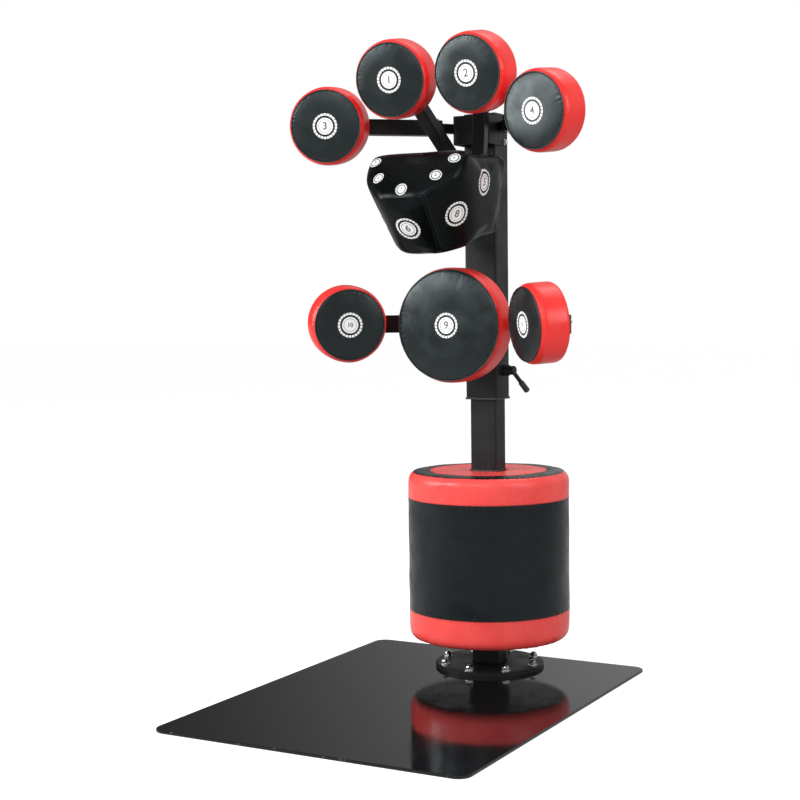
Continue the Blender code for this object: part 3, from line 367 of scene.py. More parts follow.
out_of_mast = Vector((0.0, 1.0, 0.0))
clear_of_plate = 0.0073
mast_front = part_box("mast_tube")[0].y
for node, board in (("mid_bracket", "centre_board"), ("uppercut_bracket", "uppercut_board")):
    for end, level in (("front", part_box(board)[1].y + clear_of_plate), ("rear", mast_front - clear_of_plate)):
        weld(f"{node}_{end}_weld", node, Vector((0.0, level, 0.0)), out_of_mast, "mast")


# ---------------------------------------------------------------- where the pads sit
# Each round pad is screwed by its plywood board to a steel plate on an arm. The board's flat face
# says where the pad is and which way it looks.
board_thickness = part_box("centre_board")[1].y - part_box("centre_board")[0].y


def pad_place(board):
    """Frame at the middle of a board's back, with -Y out of the pad's face and Z near upright."""
    widest = max(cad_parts[board].data.polygons, key=lambda face: face.area)
    out = widest.normal.copy() if widest.normal.y < 0.0 else -widest.normal
    low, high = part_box(board)
    back = (low + high) / 2 - out * board_thickness / 2
    inward = -out
    across = inward.cross(upright).normalized()
    turn = Matrix((across, inward, across.cross(inward))).transposed().to_4x4()
    return Matrix.Translation(back) @ turn


arms = [f"{row}_{side}" for row in ("outer", "side", "inner") for side in ("left", "right")]
places = {name: pad_place(name + "_board") for name in (*arms, "centre")}

for name in arms:
    place = places[name]
    if not name.startswith("side"):
        face = place @ Vector((0.0, clear_of_plate, 0.0))
        weld(name + "_arm_weld", name + "_arm", face, place.to_3x3() @ out_of_mast, name)


# ---------------------------------------------------------------- bolts
# M8 hexagon bolts with pressed washers hold the pads' plates and clamp the brackets to the mast.
# They are bright zinc, with a chamfered head that is dished in the middle.
head_width = 0.0075
head_height = 0.0055
washer_width = 0.0090
washer_height = 0.0016


def pick(chosen):
    """In edit mode, select only the faces that a test picks."""
    bm = bmesh.from_edit_mesh(bpy.context.active_object.data)
    bpy.ops.mesh.select_all(action="DESELECT")
    bpy.ops.mesh.select_mode(type="FACE")
    for face in bm.faces:
        face.select_set(chosen(face))
    bm.select_flush_mode()
    bmesh.update_edit_mesh(bpy.context.active_object.data)


def take_up(piece):
    """Make a piece the only one selected, and the one that is worked on."""
    bpy.ops.object.select_all(action="DESELECT")
    piece.select_set(True)
    bpy.context.view_layer.objects.active = piece


def settle(piece):
    """Put a piece's place into its mesh."""
    take_up(piece)
    bpy.ops.object.transform_apply(location=True, rotation=True, scale=True)
    piece.select_set(False)


def apply_new(piece, kind, **settings):
    """Add a modifier to a piece and apply it."""
    modifier = piece.modifiers.new(kind.lower(), kind)
    for setting, value in settings.items():
        setattr(modifier, setting, value)
    bpy.context.view_layer.objects.active = piece
    bpy.ops.object.modifier_apply(modifier=modifier.name)


bpy.ops.mesh.primitive_cylinder_add(vertices=32, radius=washer_width, depth=washer_height,
                                    location=(0.0, 0.0, washer_height / 2))
washer = bpy.context.active_object
bpy.ops.object.mode_set(mode="EDIT")
pick(lambda face: face.normal.z > 0.9)
bpy.ops.mesh.inset(thickness=0.0006, depth=0.0)
bpy.ops.mesh.inset(thickness=0.0, depth=0.0)
bpy.ops.transform.translate(value=(0.0, 0.0, 0.0004))
bpy.ops.object.mode_set(mode="OBJECT")
settle(washer)
bpy.ops.mesh.primitive_cylinder_add(vertices=6, radius=head_width, depth=head_height,
                                    location=(0.0, 0.0, washer_height + head_height / 2 + 0.0002))
model_bolt = bpy.context.active_object
bpy.ops.object.mode_set(mode="EDIT")
pick(lambda face: face.normal.z > 0.9)
bpy.ops.mesh.inset(thickness=0.0011, depth=0.0007)
bpy.ops.mesh.inset(thickness=0.0018, depth=0.0)
bpy.ops.mesh.inset(thickness=0.0006, depth=-0.0006)
bpy.ops.object.mode_set(mode="OBJECT")
settle(model_bolt)
apply_new(model_bolt, "BEVEL", width=0.0004, segments=2)
take_up(model_bolt)
washer.select_set(True)
bpy.ops.object.join()
model_bolt.data.materials.append(zinc)
bpy.ops.object.shade_smooth_by_angle(angle=math.radians(35.0))
model_bolt.select_set(False)


def copy_to(model, name, matrix, body):
    """A copy of a model with its own mesh, set in place on its body."""
    twin = stand(name, model.data.copy())
    twin.data.name = name
    twin.data.transform(matrix)
    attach(twin, body)
    return twin


def bolt_to(name, point, out, body):
    """A bolt whose head looks along `out`."""
    turn = Vector(out).to_track_quat("Z", "Y").to_matrix().to_4x4()
    copy_to(model_bolt, name, Matrix.Translation(point) @ turn, body)


plate_back = 0.0065
side_arm_back = 0.0365
corner_bolts = {"outer": (0.040, 0.022, plate_back), "inner": (0.0285, 0.040, plate_back),
                "centre": (0.0345, 0.0345, plate_back)}
for name, place in places.items():
    row = name.split("_")[0]
    body = "mast" if name == "centre" else name
    behind = place.to_3x3() @ Vector((0.0, 1.0, 0.0))
    if row == "side":
        spots = [(x, 0.0, side_arm_back) for x in (-0.026, 0.026)]
    else:
        width, height, back = corner_bolts[row]
        spots = [(x * width, z * height, back) for x in (-1, 1) for z in (-1, 1)]
    for index, (x, z, back) in enumerate(spots):
        bolt_to(f"{name}_pad_bolt_{index + 1}", place @ Vector((x, back, z)), behind, body)

sides = ((-1, "left"), (1, "right"))
plate_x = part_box("mast_tube")[0].x - plate_back
for bracket in ("head_bracket", "mid_bracket"):
    low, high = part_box(bracket)
    middle_z = (low.z + high.z) / 2
    for side, label in sides:
        for index, rise in enumerate((-0.029, 0.029)):
            point = (-side * plate_x, high.y - 0.020, middle_z + rise)
            bolt_to(f"{bracket}_bolt_{label}_{index + 1}", point, (side, 0, 0), "mast")

bolt_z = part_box("uppercut_board")[0].z + 0.012
for side, label in sides:
    point = (side * 0.036, mast_front - plate_back, bolt_z)
    bolt_to(f"uppercut_bracket_bolt_{label}", point, (0, -1, 0), "mast")
bpy.data.objects.remove(model_bolt, do_unlink=True)


# ---------------------------------------------------------------- vinyl covers
# The cushions are covered in embossed vinyl, red round the sides and black on the faces. A cover's
# "panel" attribute is the distance from the seam between the two colours, red above zero.
def cover_vinyl(name, reds, blacks, smooth, dull, gleam):
    """Embossed two-colour vinyl, with painted shade darkening its colour close to each seam, and duller where
    it is struck.
    """
    vinyl, surface, spot = start_finish(name, reds[0], smooth)
    surface.inputs["Specular IOR Level"].default_value = gleam
    surface.inputs["Specular Tint"].default_value = (0.84, 0.97, 1.0, 1.0)
    panel = add_node(vinyl, "Attribute", attribute_name="panel").outputs["Fac"]
    seam = add_node(vinyl, "Attribute", attribute_name="seam").outputs["Fac"]
    share = figure(vinyl, "GREATER_THAN", panel, 0.0)
    clouds = remap(vinyl, speckle(vinyl, spot, 11.0, 4.0), 0.3, 0.7)
    red = mix_colours(vinyl, clouds, *reds)
    black = mix_colours(vinyl, clouds, *blacks)
    tone = mix_colours(vinyl, share, black, red)
    # Painted shade: the colour is darkened to 0.42 of itself on a seam, fading out 4.5 mm away from it.
    painted_seam_shade = remap(vinyl, seam, 0.0, 0.0045, 0.42, 1.0)
    tone = add_node(vinyl, "Mix", {0: 1.0, 6: tone, 7: painted_seam_shade}, data_type="RGBA", blend_type="MULTIPLY")
    link(vinyl, tone.outputs[2], surface, "Base Color")
    rubbed = remap(vinyl, speckle(vinyl, spot, 24.0, 5.0), 0.35, 0.72, smooth, dull)
    link(vinyl, rubbed, surface, "Roughness")
    cells = add_node(vinyl, "TexVoronoi", {"Vector": spot, "Scale": 620.0}, feature="SMOOTH_F1")
    grain = figure(vinyl, "ADD", cells.outputs["Distance"], speckle(vinyl, spot, 1900.0, 2.0))
    emboss(vinyl, surface, grain, 0.00016, 0.32)
    return vinyl


pad_reds = ((0.90, 0.028, 0.023), (0.96, 0.044, 0.037))
pad_blacks = ((0.0034, 0.0050, 0.0057), (0.0060, 0.0080, 0.0088))
vinyl = cover_vinyl("embossed_vinyl", pad_reds, pad_blacks, 0.28, 0.40, 0.40)
red_thread = moulded("red_thread", (0.55, 0.03, 0.03), 0.62, 4000.0, 0.00005)
black_thread = moulded("black_thread", (0.022, 0.024, 0.026), 0.60, 4000.0, 0.00005)


filling_pressure = 4.0
filling_steps = 20


def stuff(cover, held, most):
    """Let the filling press a cover outward by up to `most` metres, with the held points fixed."""
    start = np.array([vert.co for vert in cover.data.vertices])
    group = cover.vertex_groups.new(name="held")
    group.add([int(index) for index in np.flatnonzero(held)], 1.0, "REPLACE")
    cloth = cover.modifiers.new("filling", "CLOTH")
    stuffed = {"quality": 6, "mass": 0.25, "tension_stiffness": 20.0, "compression_stiffness": 20.0,
               "shear_stiffness": 8.0, "bending_stiffness": 1.5, "use_pressure": True,
               "uniform_pressure_force": filling_pressure, "vertex_group_mass": "held"}
    for setting, value in stuffed.items():
        setattr(cloth.settings, setting, value)
    cloth.settings.effector_weights.gravity = 0.0
    cloth.point_cache.frame_start = 1
    cloth.point_cache.frame_end = filling_steps
    for step in range(1, filling_steps + 1):
        bpy.context.scene.frame_set(step)
    bpy.context.view_layer.objects.active = cover
    bpy.ops.object.modifier_apply(modifier="filling")
    bpy.context.scene.frame_set(1)
    pressed = np.array([vert.co for vert in cover.data.vertices])
    move = pressed - start
    length = np.maximum(np.linalg.norm(move, axis=1, keepdims=True), 1e-9)
    move *= most * np.tanh(length / most) / length
    cover.data.vertices.foreach_set("co", (start + move).ravel())
    cover.vertex_groups.clear()
    group = cover.vertex_groups.new(name="loose")
    group.add([int(index) for index in np.flatnonzero(~held)], 1.0, "REPLACE")
    apply_new(cover, "SMOOTH", vertex_group="loose", factor=0.5, iterations=10)
    cover.vertex_groups.clear()
    cover.data.update()


def fine_skin(cover, voxel, smoothing):
    """Remesh a closed cover evenly, and relax the steps that leaves."""
    take_up(cover)
    cover.data.remesh_voxel_size = voxel
    bpy.ops.object.voxel_remesh()
    apply_new(cover, "SMOOTH", factor=0.5, iterations=smoothing)


def refine(cover):
    """One level of subdivision."""
    apply_new(cover, "SUBSURF", levels=1, render_levels=1)


def points_of(piece):
    points = np.zeros(len(piece.data.vertices) * 3)
    piece.data.vertices.foreach_get("co", points)
    return points.reshape(-1, 3)


def normals_of(piece):
    normals = np.zeros(len(piece.data.vertices) * 3)
    piece.data.vertices.foreach_get("normal", normals)
    return normals.reshape(-1, 3)


def mark_panels(cover, panel, seam):
    """Write a cover's panel and seam distances."""
    for name, values in (("panel", panel), ("seam", seam)):
        layer = cover.data.attributes.new(name, "FLOAT", "POINT")
        layer.data.foreach_set("value", values.astype(np.float32))


def crumple(cover, seam, angle, waves, pucker, roll):
    """Small puckers that run out of the seams, and a soft unevenness of the filling."""
    points, normals = points_of(cover), normals_of(cover)
    gathered = np.zeros(len(points))
    for number in range(5):
        turns = round(waves * (0.6 + 0.23 * number))
        fading = 0.5 + 0.5 * np.cos(3 * angle + number)
        gathered += np.sin(angle * turns + 1.7 * number * number) * fading
    height = pucker * gathered / 3.0 * np.exp(-(seam / 0.013) ** 2)
    uneven = np.array([noise.noise(Vector(point) * 16.0) for point in points])
    points += normals * (height + roll * uneven)[:, None]
    cover.data.vertices.foreach_set("co", points.ravel())
    cover.data.update()


bpy.ops.mesh.primitive_uv_sphere_add(segments=6, ring_count=5, radius=1.0)
model_stitch = bpy.context.active_object
model_stitch.scale = (0.00145, 0.00040, 0.00034)
settle(model_stitch)


def set_in_rows(name, model, spots, finish):
    """One piece made of many copies of a small model, each with its own turn and place."""
    shape = points_of(model)
    faces = [tuple(face.vertices) for face in model.data.polygons]
    verts, polygons = [], []
    for turn, where in spots:
        base = len(verts)
        verts += [tuple(corner) for corner in shape @ np.array(turn).T + np.array(where)]
        polygons += [tuple(base + corner for corner in face) for face in faces]
    mesh = bpy.data.meshes.new(name)
    mesh.from_pydata(verts, [], polygons)
    mesh.materials.append(finish)
    return stand(name, mesh)


def sew(name, path, cover, thread, spacing=0.0042):
    """A row of stitches along a path, each laid flat on the cover."""
    surface = BVHTree.FromObject(cover, bpy.context.evaluated_depsgraph_get())
    points = walk(path, spacing)
    points.append(points[-1] * 2 - points[-2])
    spots = []
    for point, ahead in zip(points, points[1:]):
        here, normal, _, _ = surface.find_nearest(point)
        along = (ahead - point - normal * normal.dot(ahead - point)).normalized()
        spots.append((Matrix((along, normal.cross(along), normal)).transposed(), here + normal * 0.00012))
    row = set_in_rows(name, model_stitch, spots, thread)
    row.data.shade_smooth()
    return row


def circle(radius, level, axis="Y", count=180):
    """Closed round path about an axis."""
    path = []
    for step in range(count + 1):
        angle = math.tau * step / count
        u, v = radius * math.cos(angle), radius * math.sin(angle)
        path.append(Vector((u, level, v)) if axis == "Y" else Vector((u, v, level)))
    return path


# ---------------------------------------------------------------- round pads
# A round pad is a foam disc on a plywood board. A black face panel is piped to a red side band,
# and the band is pulled over the back of the board, gathered and stapled.
pad_low, pad_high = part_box("centre_pad")
pad_thickness = pad_high.y - pad_low.y - 0.003
centre_radius = (pad_high.x - pad_low.x) / 2
board_rim = centre_radius - (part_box("centre_board")[1].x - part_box("centre_board")[0].x) / 2
board_low, board_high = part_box("side_left_board")
board_tilt = math.radians(4.0)
small_radius = (board_high.z - board_low.z) / 2 / math.cos(board_tilt) + board_rim
swell = 0.0022
rim_round = 0.021
piping_width = 0.0017
board_room = 0.0006
flat_to_front = (math.radians(90.0), 0.0, 0.0)


def round_pad(radius, seam_inset):
    """The cover, piping, stitches, gathered fold and staples of one pad, about the Y axis."""
    depth = pad_thickness - swell
    bpy.ops.mesh.primitive_cylinder_add(vertices=96, radius=radius - swell, depth=depth,
                                        location=(0.0, -depth / 2, 0.0), rotation=flat_to_front)
    cover = bpy.context.active_object
    settle(cover)
    bpy.ops.object.mode_set(mode="EDIT")
    pick(lambda face: face.normal.y < -0.9)
    bpy.ops.mesh.region_to_loop()
    bpy.ops.mesh.bevel(offset=rim_round, segments=5, profile=0.5)
    pick(lambda face: face.normal.y > 0.9)
    bpy.ops.mesh.region_to_loop()
    bpy.ops.mesh.bevel(offset=0.004, segments=2, profile=0.5)
    bpy.ops.object.mode_set(mode="OBJECT")
    fine_skin(cover, 0.0045, 4)

    seam_radius = radius - seam_inset
    lean = math.asin((rim_round + swell - seam_inset) / rim_round)
    seam_level = -depth + rim_round * (1.0 - math.cos(lean))

    def beside_seam():
        """Each point's place, and how far outside the seam and behind it the point is."""
        points = points_of(cover)
        return points, np.hypot(points[:, 0], points[:, 2]) - seam_radius, points[:, 1] - seam_level

    points, outside, behind = beside_seam()
    stuff(cover, (points[:, 1] > -0.018) | (np.hypot(outside, behind) < 0.0035), 0.0060)
    refine(cover)
    points, outside, behind = beside_seam()
    angle = np.arctan2(points[:, 2], points[:, 0])
    crumple(cover, np.hypot(outside, behind), angle, radius * 340.0, 0.00034, 0.0008)

    board_radius = radius - board_rim
    bpy.ops.mesh.primitive_cylinder_add(vertices=96, radius=board_radius + board_room, depth=0.04,
                                        location=(0.0, 0.02 - board_thickness - board_room, 0.0),
                                        rotation=flat_to_front)
    pocket = bpy.context.active_object
    apply_new(cover, "BOOLEAN", object=pocket, operation="DIFFERENCE")
    bpy.data.objects.remove(pocket, do_unlink=True)
    apply_new(cover, "WELD", merge_threshold=0.00001)

    _, outside, behind = beside_seam()
    mark_panels(cover, outside + behind, np.hypot(outside, behind))
    cover.data.materials.clear()
    cover.data.materials.append(vinyl)
    take_up(cover)
    bpy.ops.object.shade_smooth_by_angle(angle=math.radians(50.0))

    bpy.ops.mesh.primitive_torus_add(major_segments=128, minor_segments=10, minor_radius=piping_width,
                                     major_radius=seam_radius + 0.0006, rotation=flat_to_front,
                                     location=(0.0, seam_level - 0.0007, 0.0))
    piping = bpy.context.active_object
    settle(piping)
    rounds = points_of(piping)
    turn = np.arctan2(rounds[:, 2], rounds[:, 0])
    rounds[:, 1] += 0.00025 * np.sin(23.0 * turn) + 0.0002 * np.sin(41.0 * turn + 1.0)
    piping.data.vertices.foreach_set("co", rounds.ravel())
    piping.data.materials.append(piping_vinyl)
    piping.data.shade_smooth()

    face_row = sew("face_row", circle(seam_radius - 0.0060, seam_level - 0.004), cover, black_thread)
    side_row = sew("side_row", circle(seam_radius + 0.004, seam_level + 0.0060), cover, red_thread)
    fold = gathered_fold(radius)
    staples = staple_ring(radius - 0.030, round(radius * 270.0))
    return {"pad": cover, "piping": piping, "face_stitching": face_row, "side_stitching": side_row,
            "cover_fold": fold, "staples": staples}


def gathered_fold(radius):
    """The edge of the red band where it is pulled over the board, pleated towards the middle."""
    outer, inner = radius - 0.0050, radius - 0.0380
    bpy.ops.mesh.primitive_circle_add(vertices=180, radius=outer, location=(0.0, 0.0006, 0.0),
                                      rotation=(math.radians(-90.0), 0.0, 0.0))
    fold = bpy.context.active_object
    settle(fold)
    bpy.ops.object.mode_set(mode="EDIT")
    bpy.ops.mesh.select_all(action="SELECT")
    steps = 7
    for step in range(steps):
        now = outer + (inner - outer) * step / steps
        after = outer + (inner - outer) * (step + 1) / steps
        bpy.ops.mesh.extrude_edges_move()
        bpy.ops.transform.resize(value=(after / now, 1.0, after / now))
    bpy.ops.object.mode_set(mode="OBJECT")
    points = points_of(fold)
    across = np.hypot(points[:, 0], points[:, 2])
    angle = np.arctan2(points[:, 2], points[:, 0])
    inward = (outer - across) / (outer - inner)
    pleats = np.sin(angle * round(radius * 330.0)) + 0.5 * np.sin(angle * round(radius * 510.0) + 1.3)
    points[:, 1] += 0.0007 * inward * (1.5 + pleats)
    ragged = 0.0016 * np.sin(angle * 17.0) + 0.001 * np.sin(angle * 53.0)
    stretch = 1.0 + np.where(inward > 0.98, ragged / across, 0.0)
    points[:, 0] *= stretch
    points[:, 2] *= stretch
    fold.data.vertices.foreach_set("co", points.ravel())
    apply_new(fold, "SOLIDIFY", thickness=0.0008, offset=-1.0)
    bm = bmesh.new()
    bm.from_mesh(fold.data)
    bmesh.ops.recalc_face_normals(bm, faces=bm.faces)
    bm.to_mesh(fold.data)
    bm.free()
    count = len(fold.data.vertices)
    mark_panels(fold, np.full(count, 0.02), np.full(count, 0.02))
    fold.data.materials.append(vinyl)
    fold.data.shade_smooth()
    return fold


def staple_ring(radius, count):
    """Wire staples driven across the fold, each turned a little differently."""
    bpy.ops.mesh.primitive_cube_add(size=1.0)
    wire = bpy.context.active_object
    wire.scale = (0.0100, 0.0007, 0.0012)
    settle(wire)
    apply_new(wire, "BEVEL", width=0.0003, segments=1)
    spots = []
    for number in range(count):
        angle = math.tau * (number + 0.25 * math.sin(5.0 * number)) / count
        skew = math.radians(90.0 + 14.0 * math.sin(3.0 * number))
        where = (radius * math.cos(angle), 0.0034, radius * math.sin(angle))
        spots.append((Matrix.Rotation(skew - angle, 3, "Y"), where))
    staples = set_in_rows("staples", wire, spots, zinc)
    bpy.data.objects.remove(wire, do_unlink=True)
    return staples


piping_vinyl = moulded("black_piping", (0.010, 0.012, 0.013), 0.38, 800.0, 0.00008)
small_inset = 0.0128
centre_inset = 0.0095
pad_covers = {}
for radius, inset, names in ((small_radius, small_inset, arms), (centre_radius, centre_inset, ["centre"])):
    kit = round_pad(radius, inset)
    for order, name in enumerate(names):
        spin = Matrix.Rotation(math.radians(67.0 * order), 4, "Y")
        for part, model in kit.items():
            body = "mast" if name == "centre" else name
            title = name + "_cushion" if part == "pad" else f"{name}_{part}"
            piece = copy_to(model, title, places[name] @ spin, body)
            if part == "pad":
                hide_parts(name + "_pad")
                pad_covers[name] = piece
    for model in kit.values():
        bpy.data.objects.remove(model, do_unlink=True)


# ---------------------------------------------------------------- uppercut pad
# The uppercut pad is a block of foam cut to seven slopes under one black cover, so that it can be
# struck from below, from the front and from both sides. Its cover is top-stitched along the edges.
uppercut = stand("uppercut_cushion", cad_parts["uppercut_pad"].data.copy())
bm = bmesh.new()
bm.from_mesh(uppercut.data)
bmesh.ops.remove_doubles(bm, verts=bm.verts, dist=0.00002)
bm.to_mesh(uppercut.data)
bm.free()
block_low, block_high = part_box("uppercut_pad")
block_middle = np.array((block_low + block_high) / 2)
room_to_swell = 0.020
points = points_of(uppercut)
in_front = points[:, 1] < block_high.y - 0.014
points[in_front] += (block_middle - points[in_front]) * room_to_swell
uppercut.data.vertices.foreach_set("co", points.ravel())
fine_skin(uppercut, 0.005, 12)

wide, deep, tall = (end - start for start, end in zip(block_low, block_high))
crease = Vector((0.227 * wide, block_low.y + 0.012, block_high.z - 0.44 * tall))
brow = Vector((0.47 * wide, block_low.y + 0.20 * deep, block_high.z - 0.21 * tall))
chin = Vector((0.19 * wide, block_low.y + 0.37 * deep, block_low.z + 0.008))


def mirrored(point):
    """The same point on the pad's other half."""
    return Vector((-point.x, point.y, point.z))


edge_paths = {"crease": [mirrored(brow), mirrored(crease), crease, brow],
              "right_nose": [crease, chin], "left_nose": [mirrored(crease), mirrored(chin)]}


def soften_along(cover, path, reach, iterations):
    """Round a cover more where the foam's edge is rubbed away along a path."""
    points = points_of(cover)
    nearest = np.full(len(points), 1.0)
    for a, b in zip(path, path[1:]):
        start, run = np.array(a), np.array(b - a)
        share = np.clip((points - start) @ run / run.dot(run), 0.0, 1.0)
        away = np.linalg.norm(points - start - share[:, None] * run, axis=1)
        nearest = np.minimum(nearest, away)
    group = cover.vertex_groups.new(name="ridge")
    for index in np.flatnonzero(nearest < reach):
        group.add([int(index)], float(1.0 - nearest[index] / reach), "REPLACE")
    apply_new(cover, "SMOOTH", vertex_group="ridge", factor=0.8, iterations=iterations)
    cover.vertex_groups.clear()


soften_along(uppercut, edge_paths["crease"], 0.042, 60)
soften_along(uppercut, edge_paths["left_nose"], 0.030, 20)
soften_along(uppercut, edge_paths["right_nose"], 0.030, 20)
stuff(uppercut, points_of(uppercut)[:, 1] > block_high.y - 0.020, 0.006)
refine(uppercut)
points = points_of(uppercut)
far_away = np.full(len(points), 0.05)
crumple(uppercut, far_away, points[:, 0], 1.0, 0.0, 0.0005)
mark_panels(uppercut, -far_away, far_away)
uppercut.data.materials.clear()
gloss_blacks = ((0.0012, 0.0017, 0.0018), (0.0024, 0.0030, 0.0032))
gloss_vinyl = cover_vinyl("smooth_black_vinyl", pad_reds, gloss_blacks, 0.24, 0.33, 0.12)
uppercut.data.materials.append(gloss_vinyl)
uppercut.data.shade_smooth()
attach(uppercut, "mast")
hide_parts("uppercut_pad")

for name, path in edge_paths.items():
    for shift, label in ((0.005, "upper"), (-0.005, "lower")):
        offset = Vector((0.0, 0.0, shift)) if name == "crease" else Vector((shift, 0.0, 0.0))
        row = sew(f"uppercut_{name}_{label}_row", [point + offset for point in path], uppercut, black_thread)
        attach(row, "mast")


# ---------------------------------------------------------------- printed targets
# Each striking face carries a white target, printed on thin vinyl and ironed on: a disc with the
# target's number, a dark ring line and an outer ring of dashes.
white_ink = moulded("white_print", (0.93, 0.93, 0.92), 0.42, 900.0, 0.00005)
dark_ink = moulded("dark_print", (0.10, 0.10, 0.11), 0.50, 900.0, 0.00005)


def wrap(piece, cover, lift):
    """Lay a flat print on a cover, with its back to the cover, and give it thickness."""
    take_up(piece)
    apply_new(piece, "SHRINKWRAP", target=cover, wrap_method="PROJECT", use_project_x=False,
              use_project_y=False, use_project_z=True, use_positive_direction=False,
              use_negative_direction=True, offset=lift)
    apply_new(piece, "SOLIDIFY", thickness=0.0002, offset=1.0)
    settle(piece)
    piece.data.shade_flat()


def ring_piece(name, spans, place, ink):
    """Flat ring sectors, each from one angle to another between two radii."""
    bm = bmesh.new()
    for inner, outer, start, stop, steps in spans:
        rows = []
        for step in range(steps + 1):
            angle = start + (stop - start) * step / steps
            reach = [inner, outer] if inner else [0.0, outer * 0.5, outer]
            rows.append([bm.verts.new((r * math.cos(angle), r * math.sin(angle), 0.0)) for r in reach])
        for first, second in zip(rows, rows[1:]):
            for index in range(len(first) - 1):
                bm.faces.new((first[index], first[index + 1], second[index + 1], second[index]))
    bmesh.ops.remove_doubles(bm, verts=bm.verts, dist=0.00001)
    bmesh.ops.recalc_face_normals(bm, faces=bm.faces)
    mesh = bpy.data.meshes.new(name)
    bm.to_mesh(mesh)
    bm.free()
    mesh.materials.append(ink)
    piece = stand(name, mesh)
    piece.matrix_world = place
    bpy.context.view_layer.update()
    return piece


def print_target(name, digit, radius, place, cover, body):
    """A target of this radius about a place whose Z looks away from the cover."""
    white_lift, dark_lift = 0.00035, 0.00060
    disc = 0.66 * radius
    white = [(0.0, disc, 0.0, math.tau, 40)]
    dashes = 22
    for number in range(dashes):
        start = math.tau * number / dashes
        white.append((0.82 * radius, radius, start, start + 0.82 * math.tau / dashes, 4))
    paper = ring_piece(name, white, place, white_ink)
    wrap(paper, cover, white_lift)
    line = ring_piece(name + "_line", [(0.76 * disc, 0.80 * disc, 0.0, math.tau, 48)], place, dark_ink)
    wrap(line, cover, dark_lift)
    bpy.ops.object.text_add()
    number = bpy.context.active_object
    number.data.body = digit
    number.data.size = 1.25 * disc / (0.75 * len(digit) + 0.25)
    number.data.align_x = "CENTER"
    number.data.align_y = "CENTER"
    number.data.offset = 0.02 * disc
    number.data.resolution_u = 4
    take_up(number)
    bpy.ops.object.convert(target="MESH")
    number.data.materials.append(dark_ink)
    number.matrix_world = place
    bpy.context.view_layer.update()
    wrap(number, cover, dark_lift)
    take_up(paper)
    line.select_set(True)
    number.select_set(True)
    bpy.ops.object.join()
    paper.select_set(False)
    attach(paper, body)


face_up = Matrix.Rotation(math.radians(90.0), 4, "X")
off_the_face = Matrix.Translation((0.0, -pad_thickness - 0.012, 0.0)) @ face_up
target_radius = 0.035
small_target = 0.0165
digits = {"inner_left": "1", "inner_right": "2", "outer_left": "3", "outer_right": "4", "centre": "9",
          "side_left": "10", "side_right": "11"}
for name, digit in digits.items():
    place = places[name] @ off_the_face
    body = "mast" if name == "centre" else name
    print_target(name + "_target", digit, target_radius, place, pad_covers[name], body)

uppercut_skin = BVHTree.FromObject(uppercut, bpy.context.evaluated_depsgraph_get())
from_front_corner = (("upper_far_left", "5", (-0.116, 0.104, 0.032), small_target),
                     ("upper_near_left", "6", (-0.082, 0.066, 0.079), small_target),
                     ("upper_middle", "7", (0.0, 0.037, 0.110), small_target),
                     ("upper_near_right", "6", (0.082, 0.066, 0.079), small_target),
                     ("upper_far_right", "5", (0.116, 0.104, 0.032), small_target),
                     ("front_left", "7", (-0.120, 0.112, 0.170), target_radius),
                     ("front_middle", "6", (-0.006, 0.074, 0.194), target_radius),
                     ("front_right", "8", (0.120, 0.112, 0.170), target_radius),
                     ("cheek_left", "5", (-0.150, 0.214, 0.080), target_radius),
                     ("cheek_right", "5", (0.150, 0.214, 0.080), target_radius))
for name, digit, (aside, behind, below), radius in from_front_corner:
    point = Vector((aside, block_low.y + behind, block_high.z - below))
    here, normal, _, _ = uppercut_skin.find_nearest(point)
    across = upright.cross(normal).normalized()
    turn = Matrix((across, normal.cross(across), normal)).transposed().to_4x4()
    place = Matrix.Translation(here + normal * 0.012) @ turn
    print_target("uppercut_target_" + name, digit, radius, place, uppercut, "mast")


# ---------------------------------------------------------------- kick drum
# The drum is a foam cylinder on the post, for knees and low kicks. Its cover has a black band
# between two red ones, and a black ring and a red disc on top, stitched on both sides of each seam.
drum_low, drum_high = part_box("drum_pad")
drum_radius = (drum_high.x - drum_low.x) / 2
drum_middle = (drum_low.z + drum_high.z) / 2
post_centre = (post_low + post_high) / 2
drum_swell = 0.004
drum_edge = 0.026
bpy.ops.mesh.primitive_cylinder_add(vertices=160, radius=drum_radius - drum_swell,
                                    depth=drum_high.z - drum_low.z - drum_swell,
                                    location=(0.0, post_centre.y, drum_middle))
drum = bpy.context.active_object
drum.name = "drum_cushion"
settle(drum)
bpy.ops.object.mode_set(mode="EDIT")
for sign in (-1, 1):
    pick(lambda face: face.normal.z * sign > 0.9)
    bpy.ops.mesh.region_to_loop()
    bpy.ops.mesh.bevel(offset=drum_edge, segments=6, profile=0.5)
bpy.ops.object.mode_set(mode="OBJECT")
post_room = 0.0035
bpy.ops.mesh.primitive_cube_add(size=1.0, location=(0.0, post_centre.y, drum_middle))
shaft = bpy.context.active_object
shaft.scale = (post_high.x - post_low.x + 2 * post_room, post_high.y - post_low.y + 2 * post_room, 1.0)
settle(shaft)
apply_new(drum, "BOOLEAN", object=shaft)
bpy.data.objects.remove(shaft, do_unlink=True)
fine_skin(drum, 0.007, 3)

seam_levels = (drum_low.z + 0.088, drum_high.z - 0.079)
top_disc_radius = 0.170


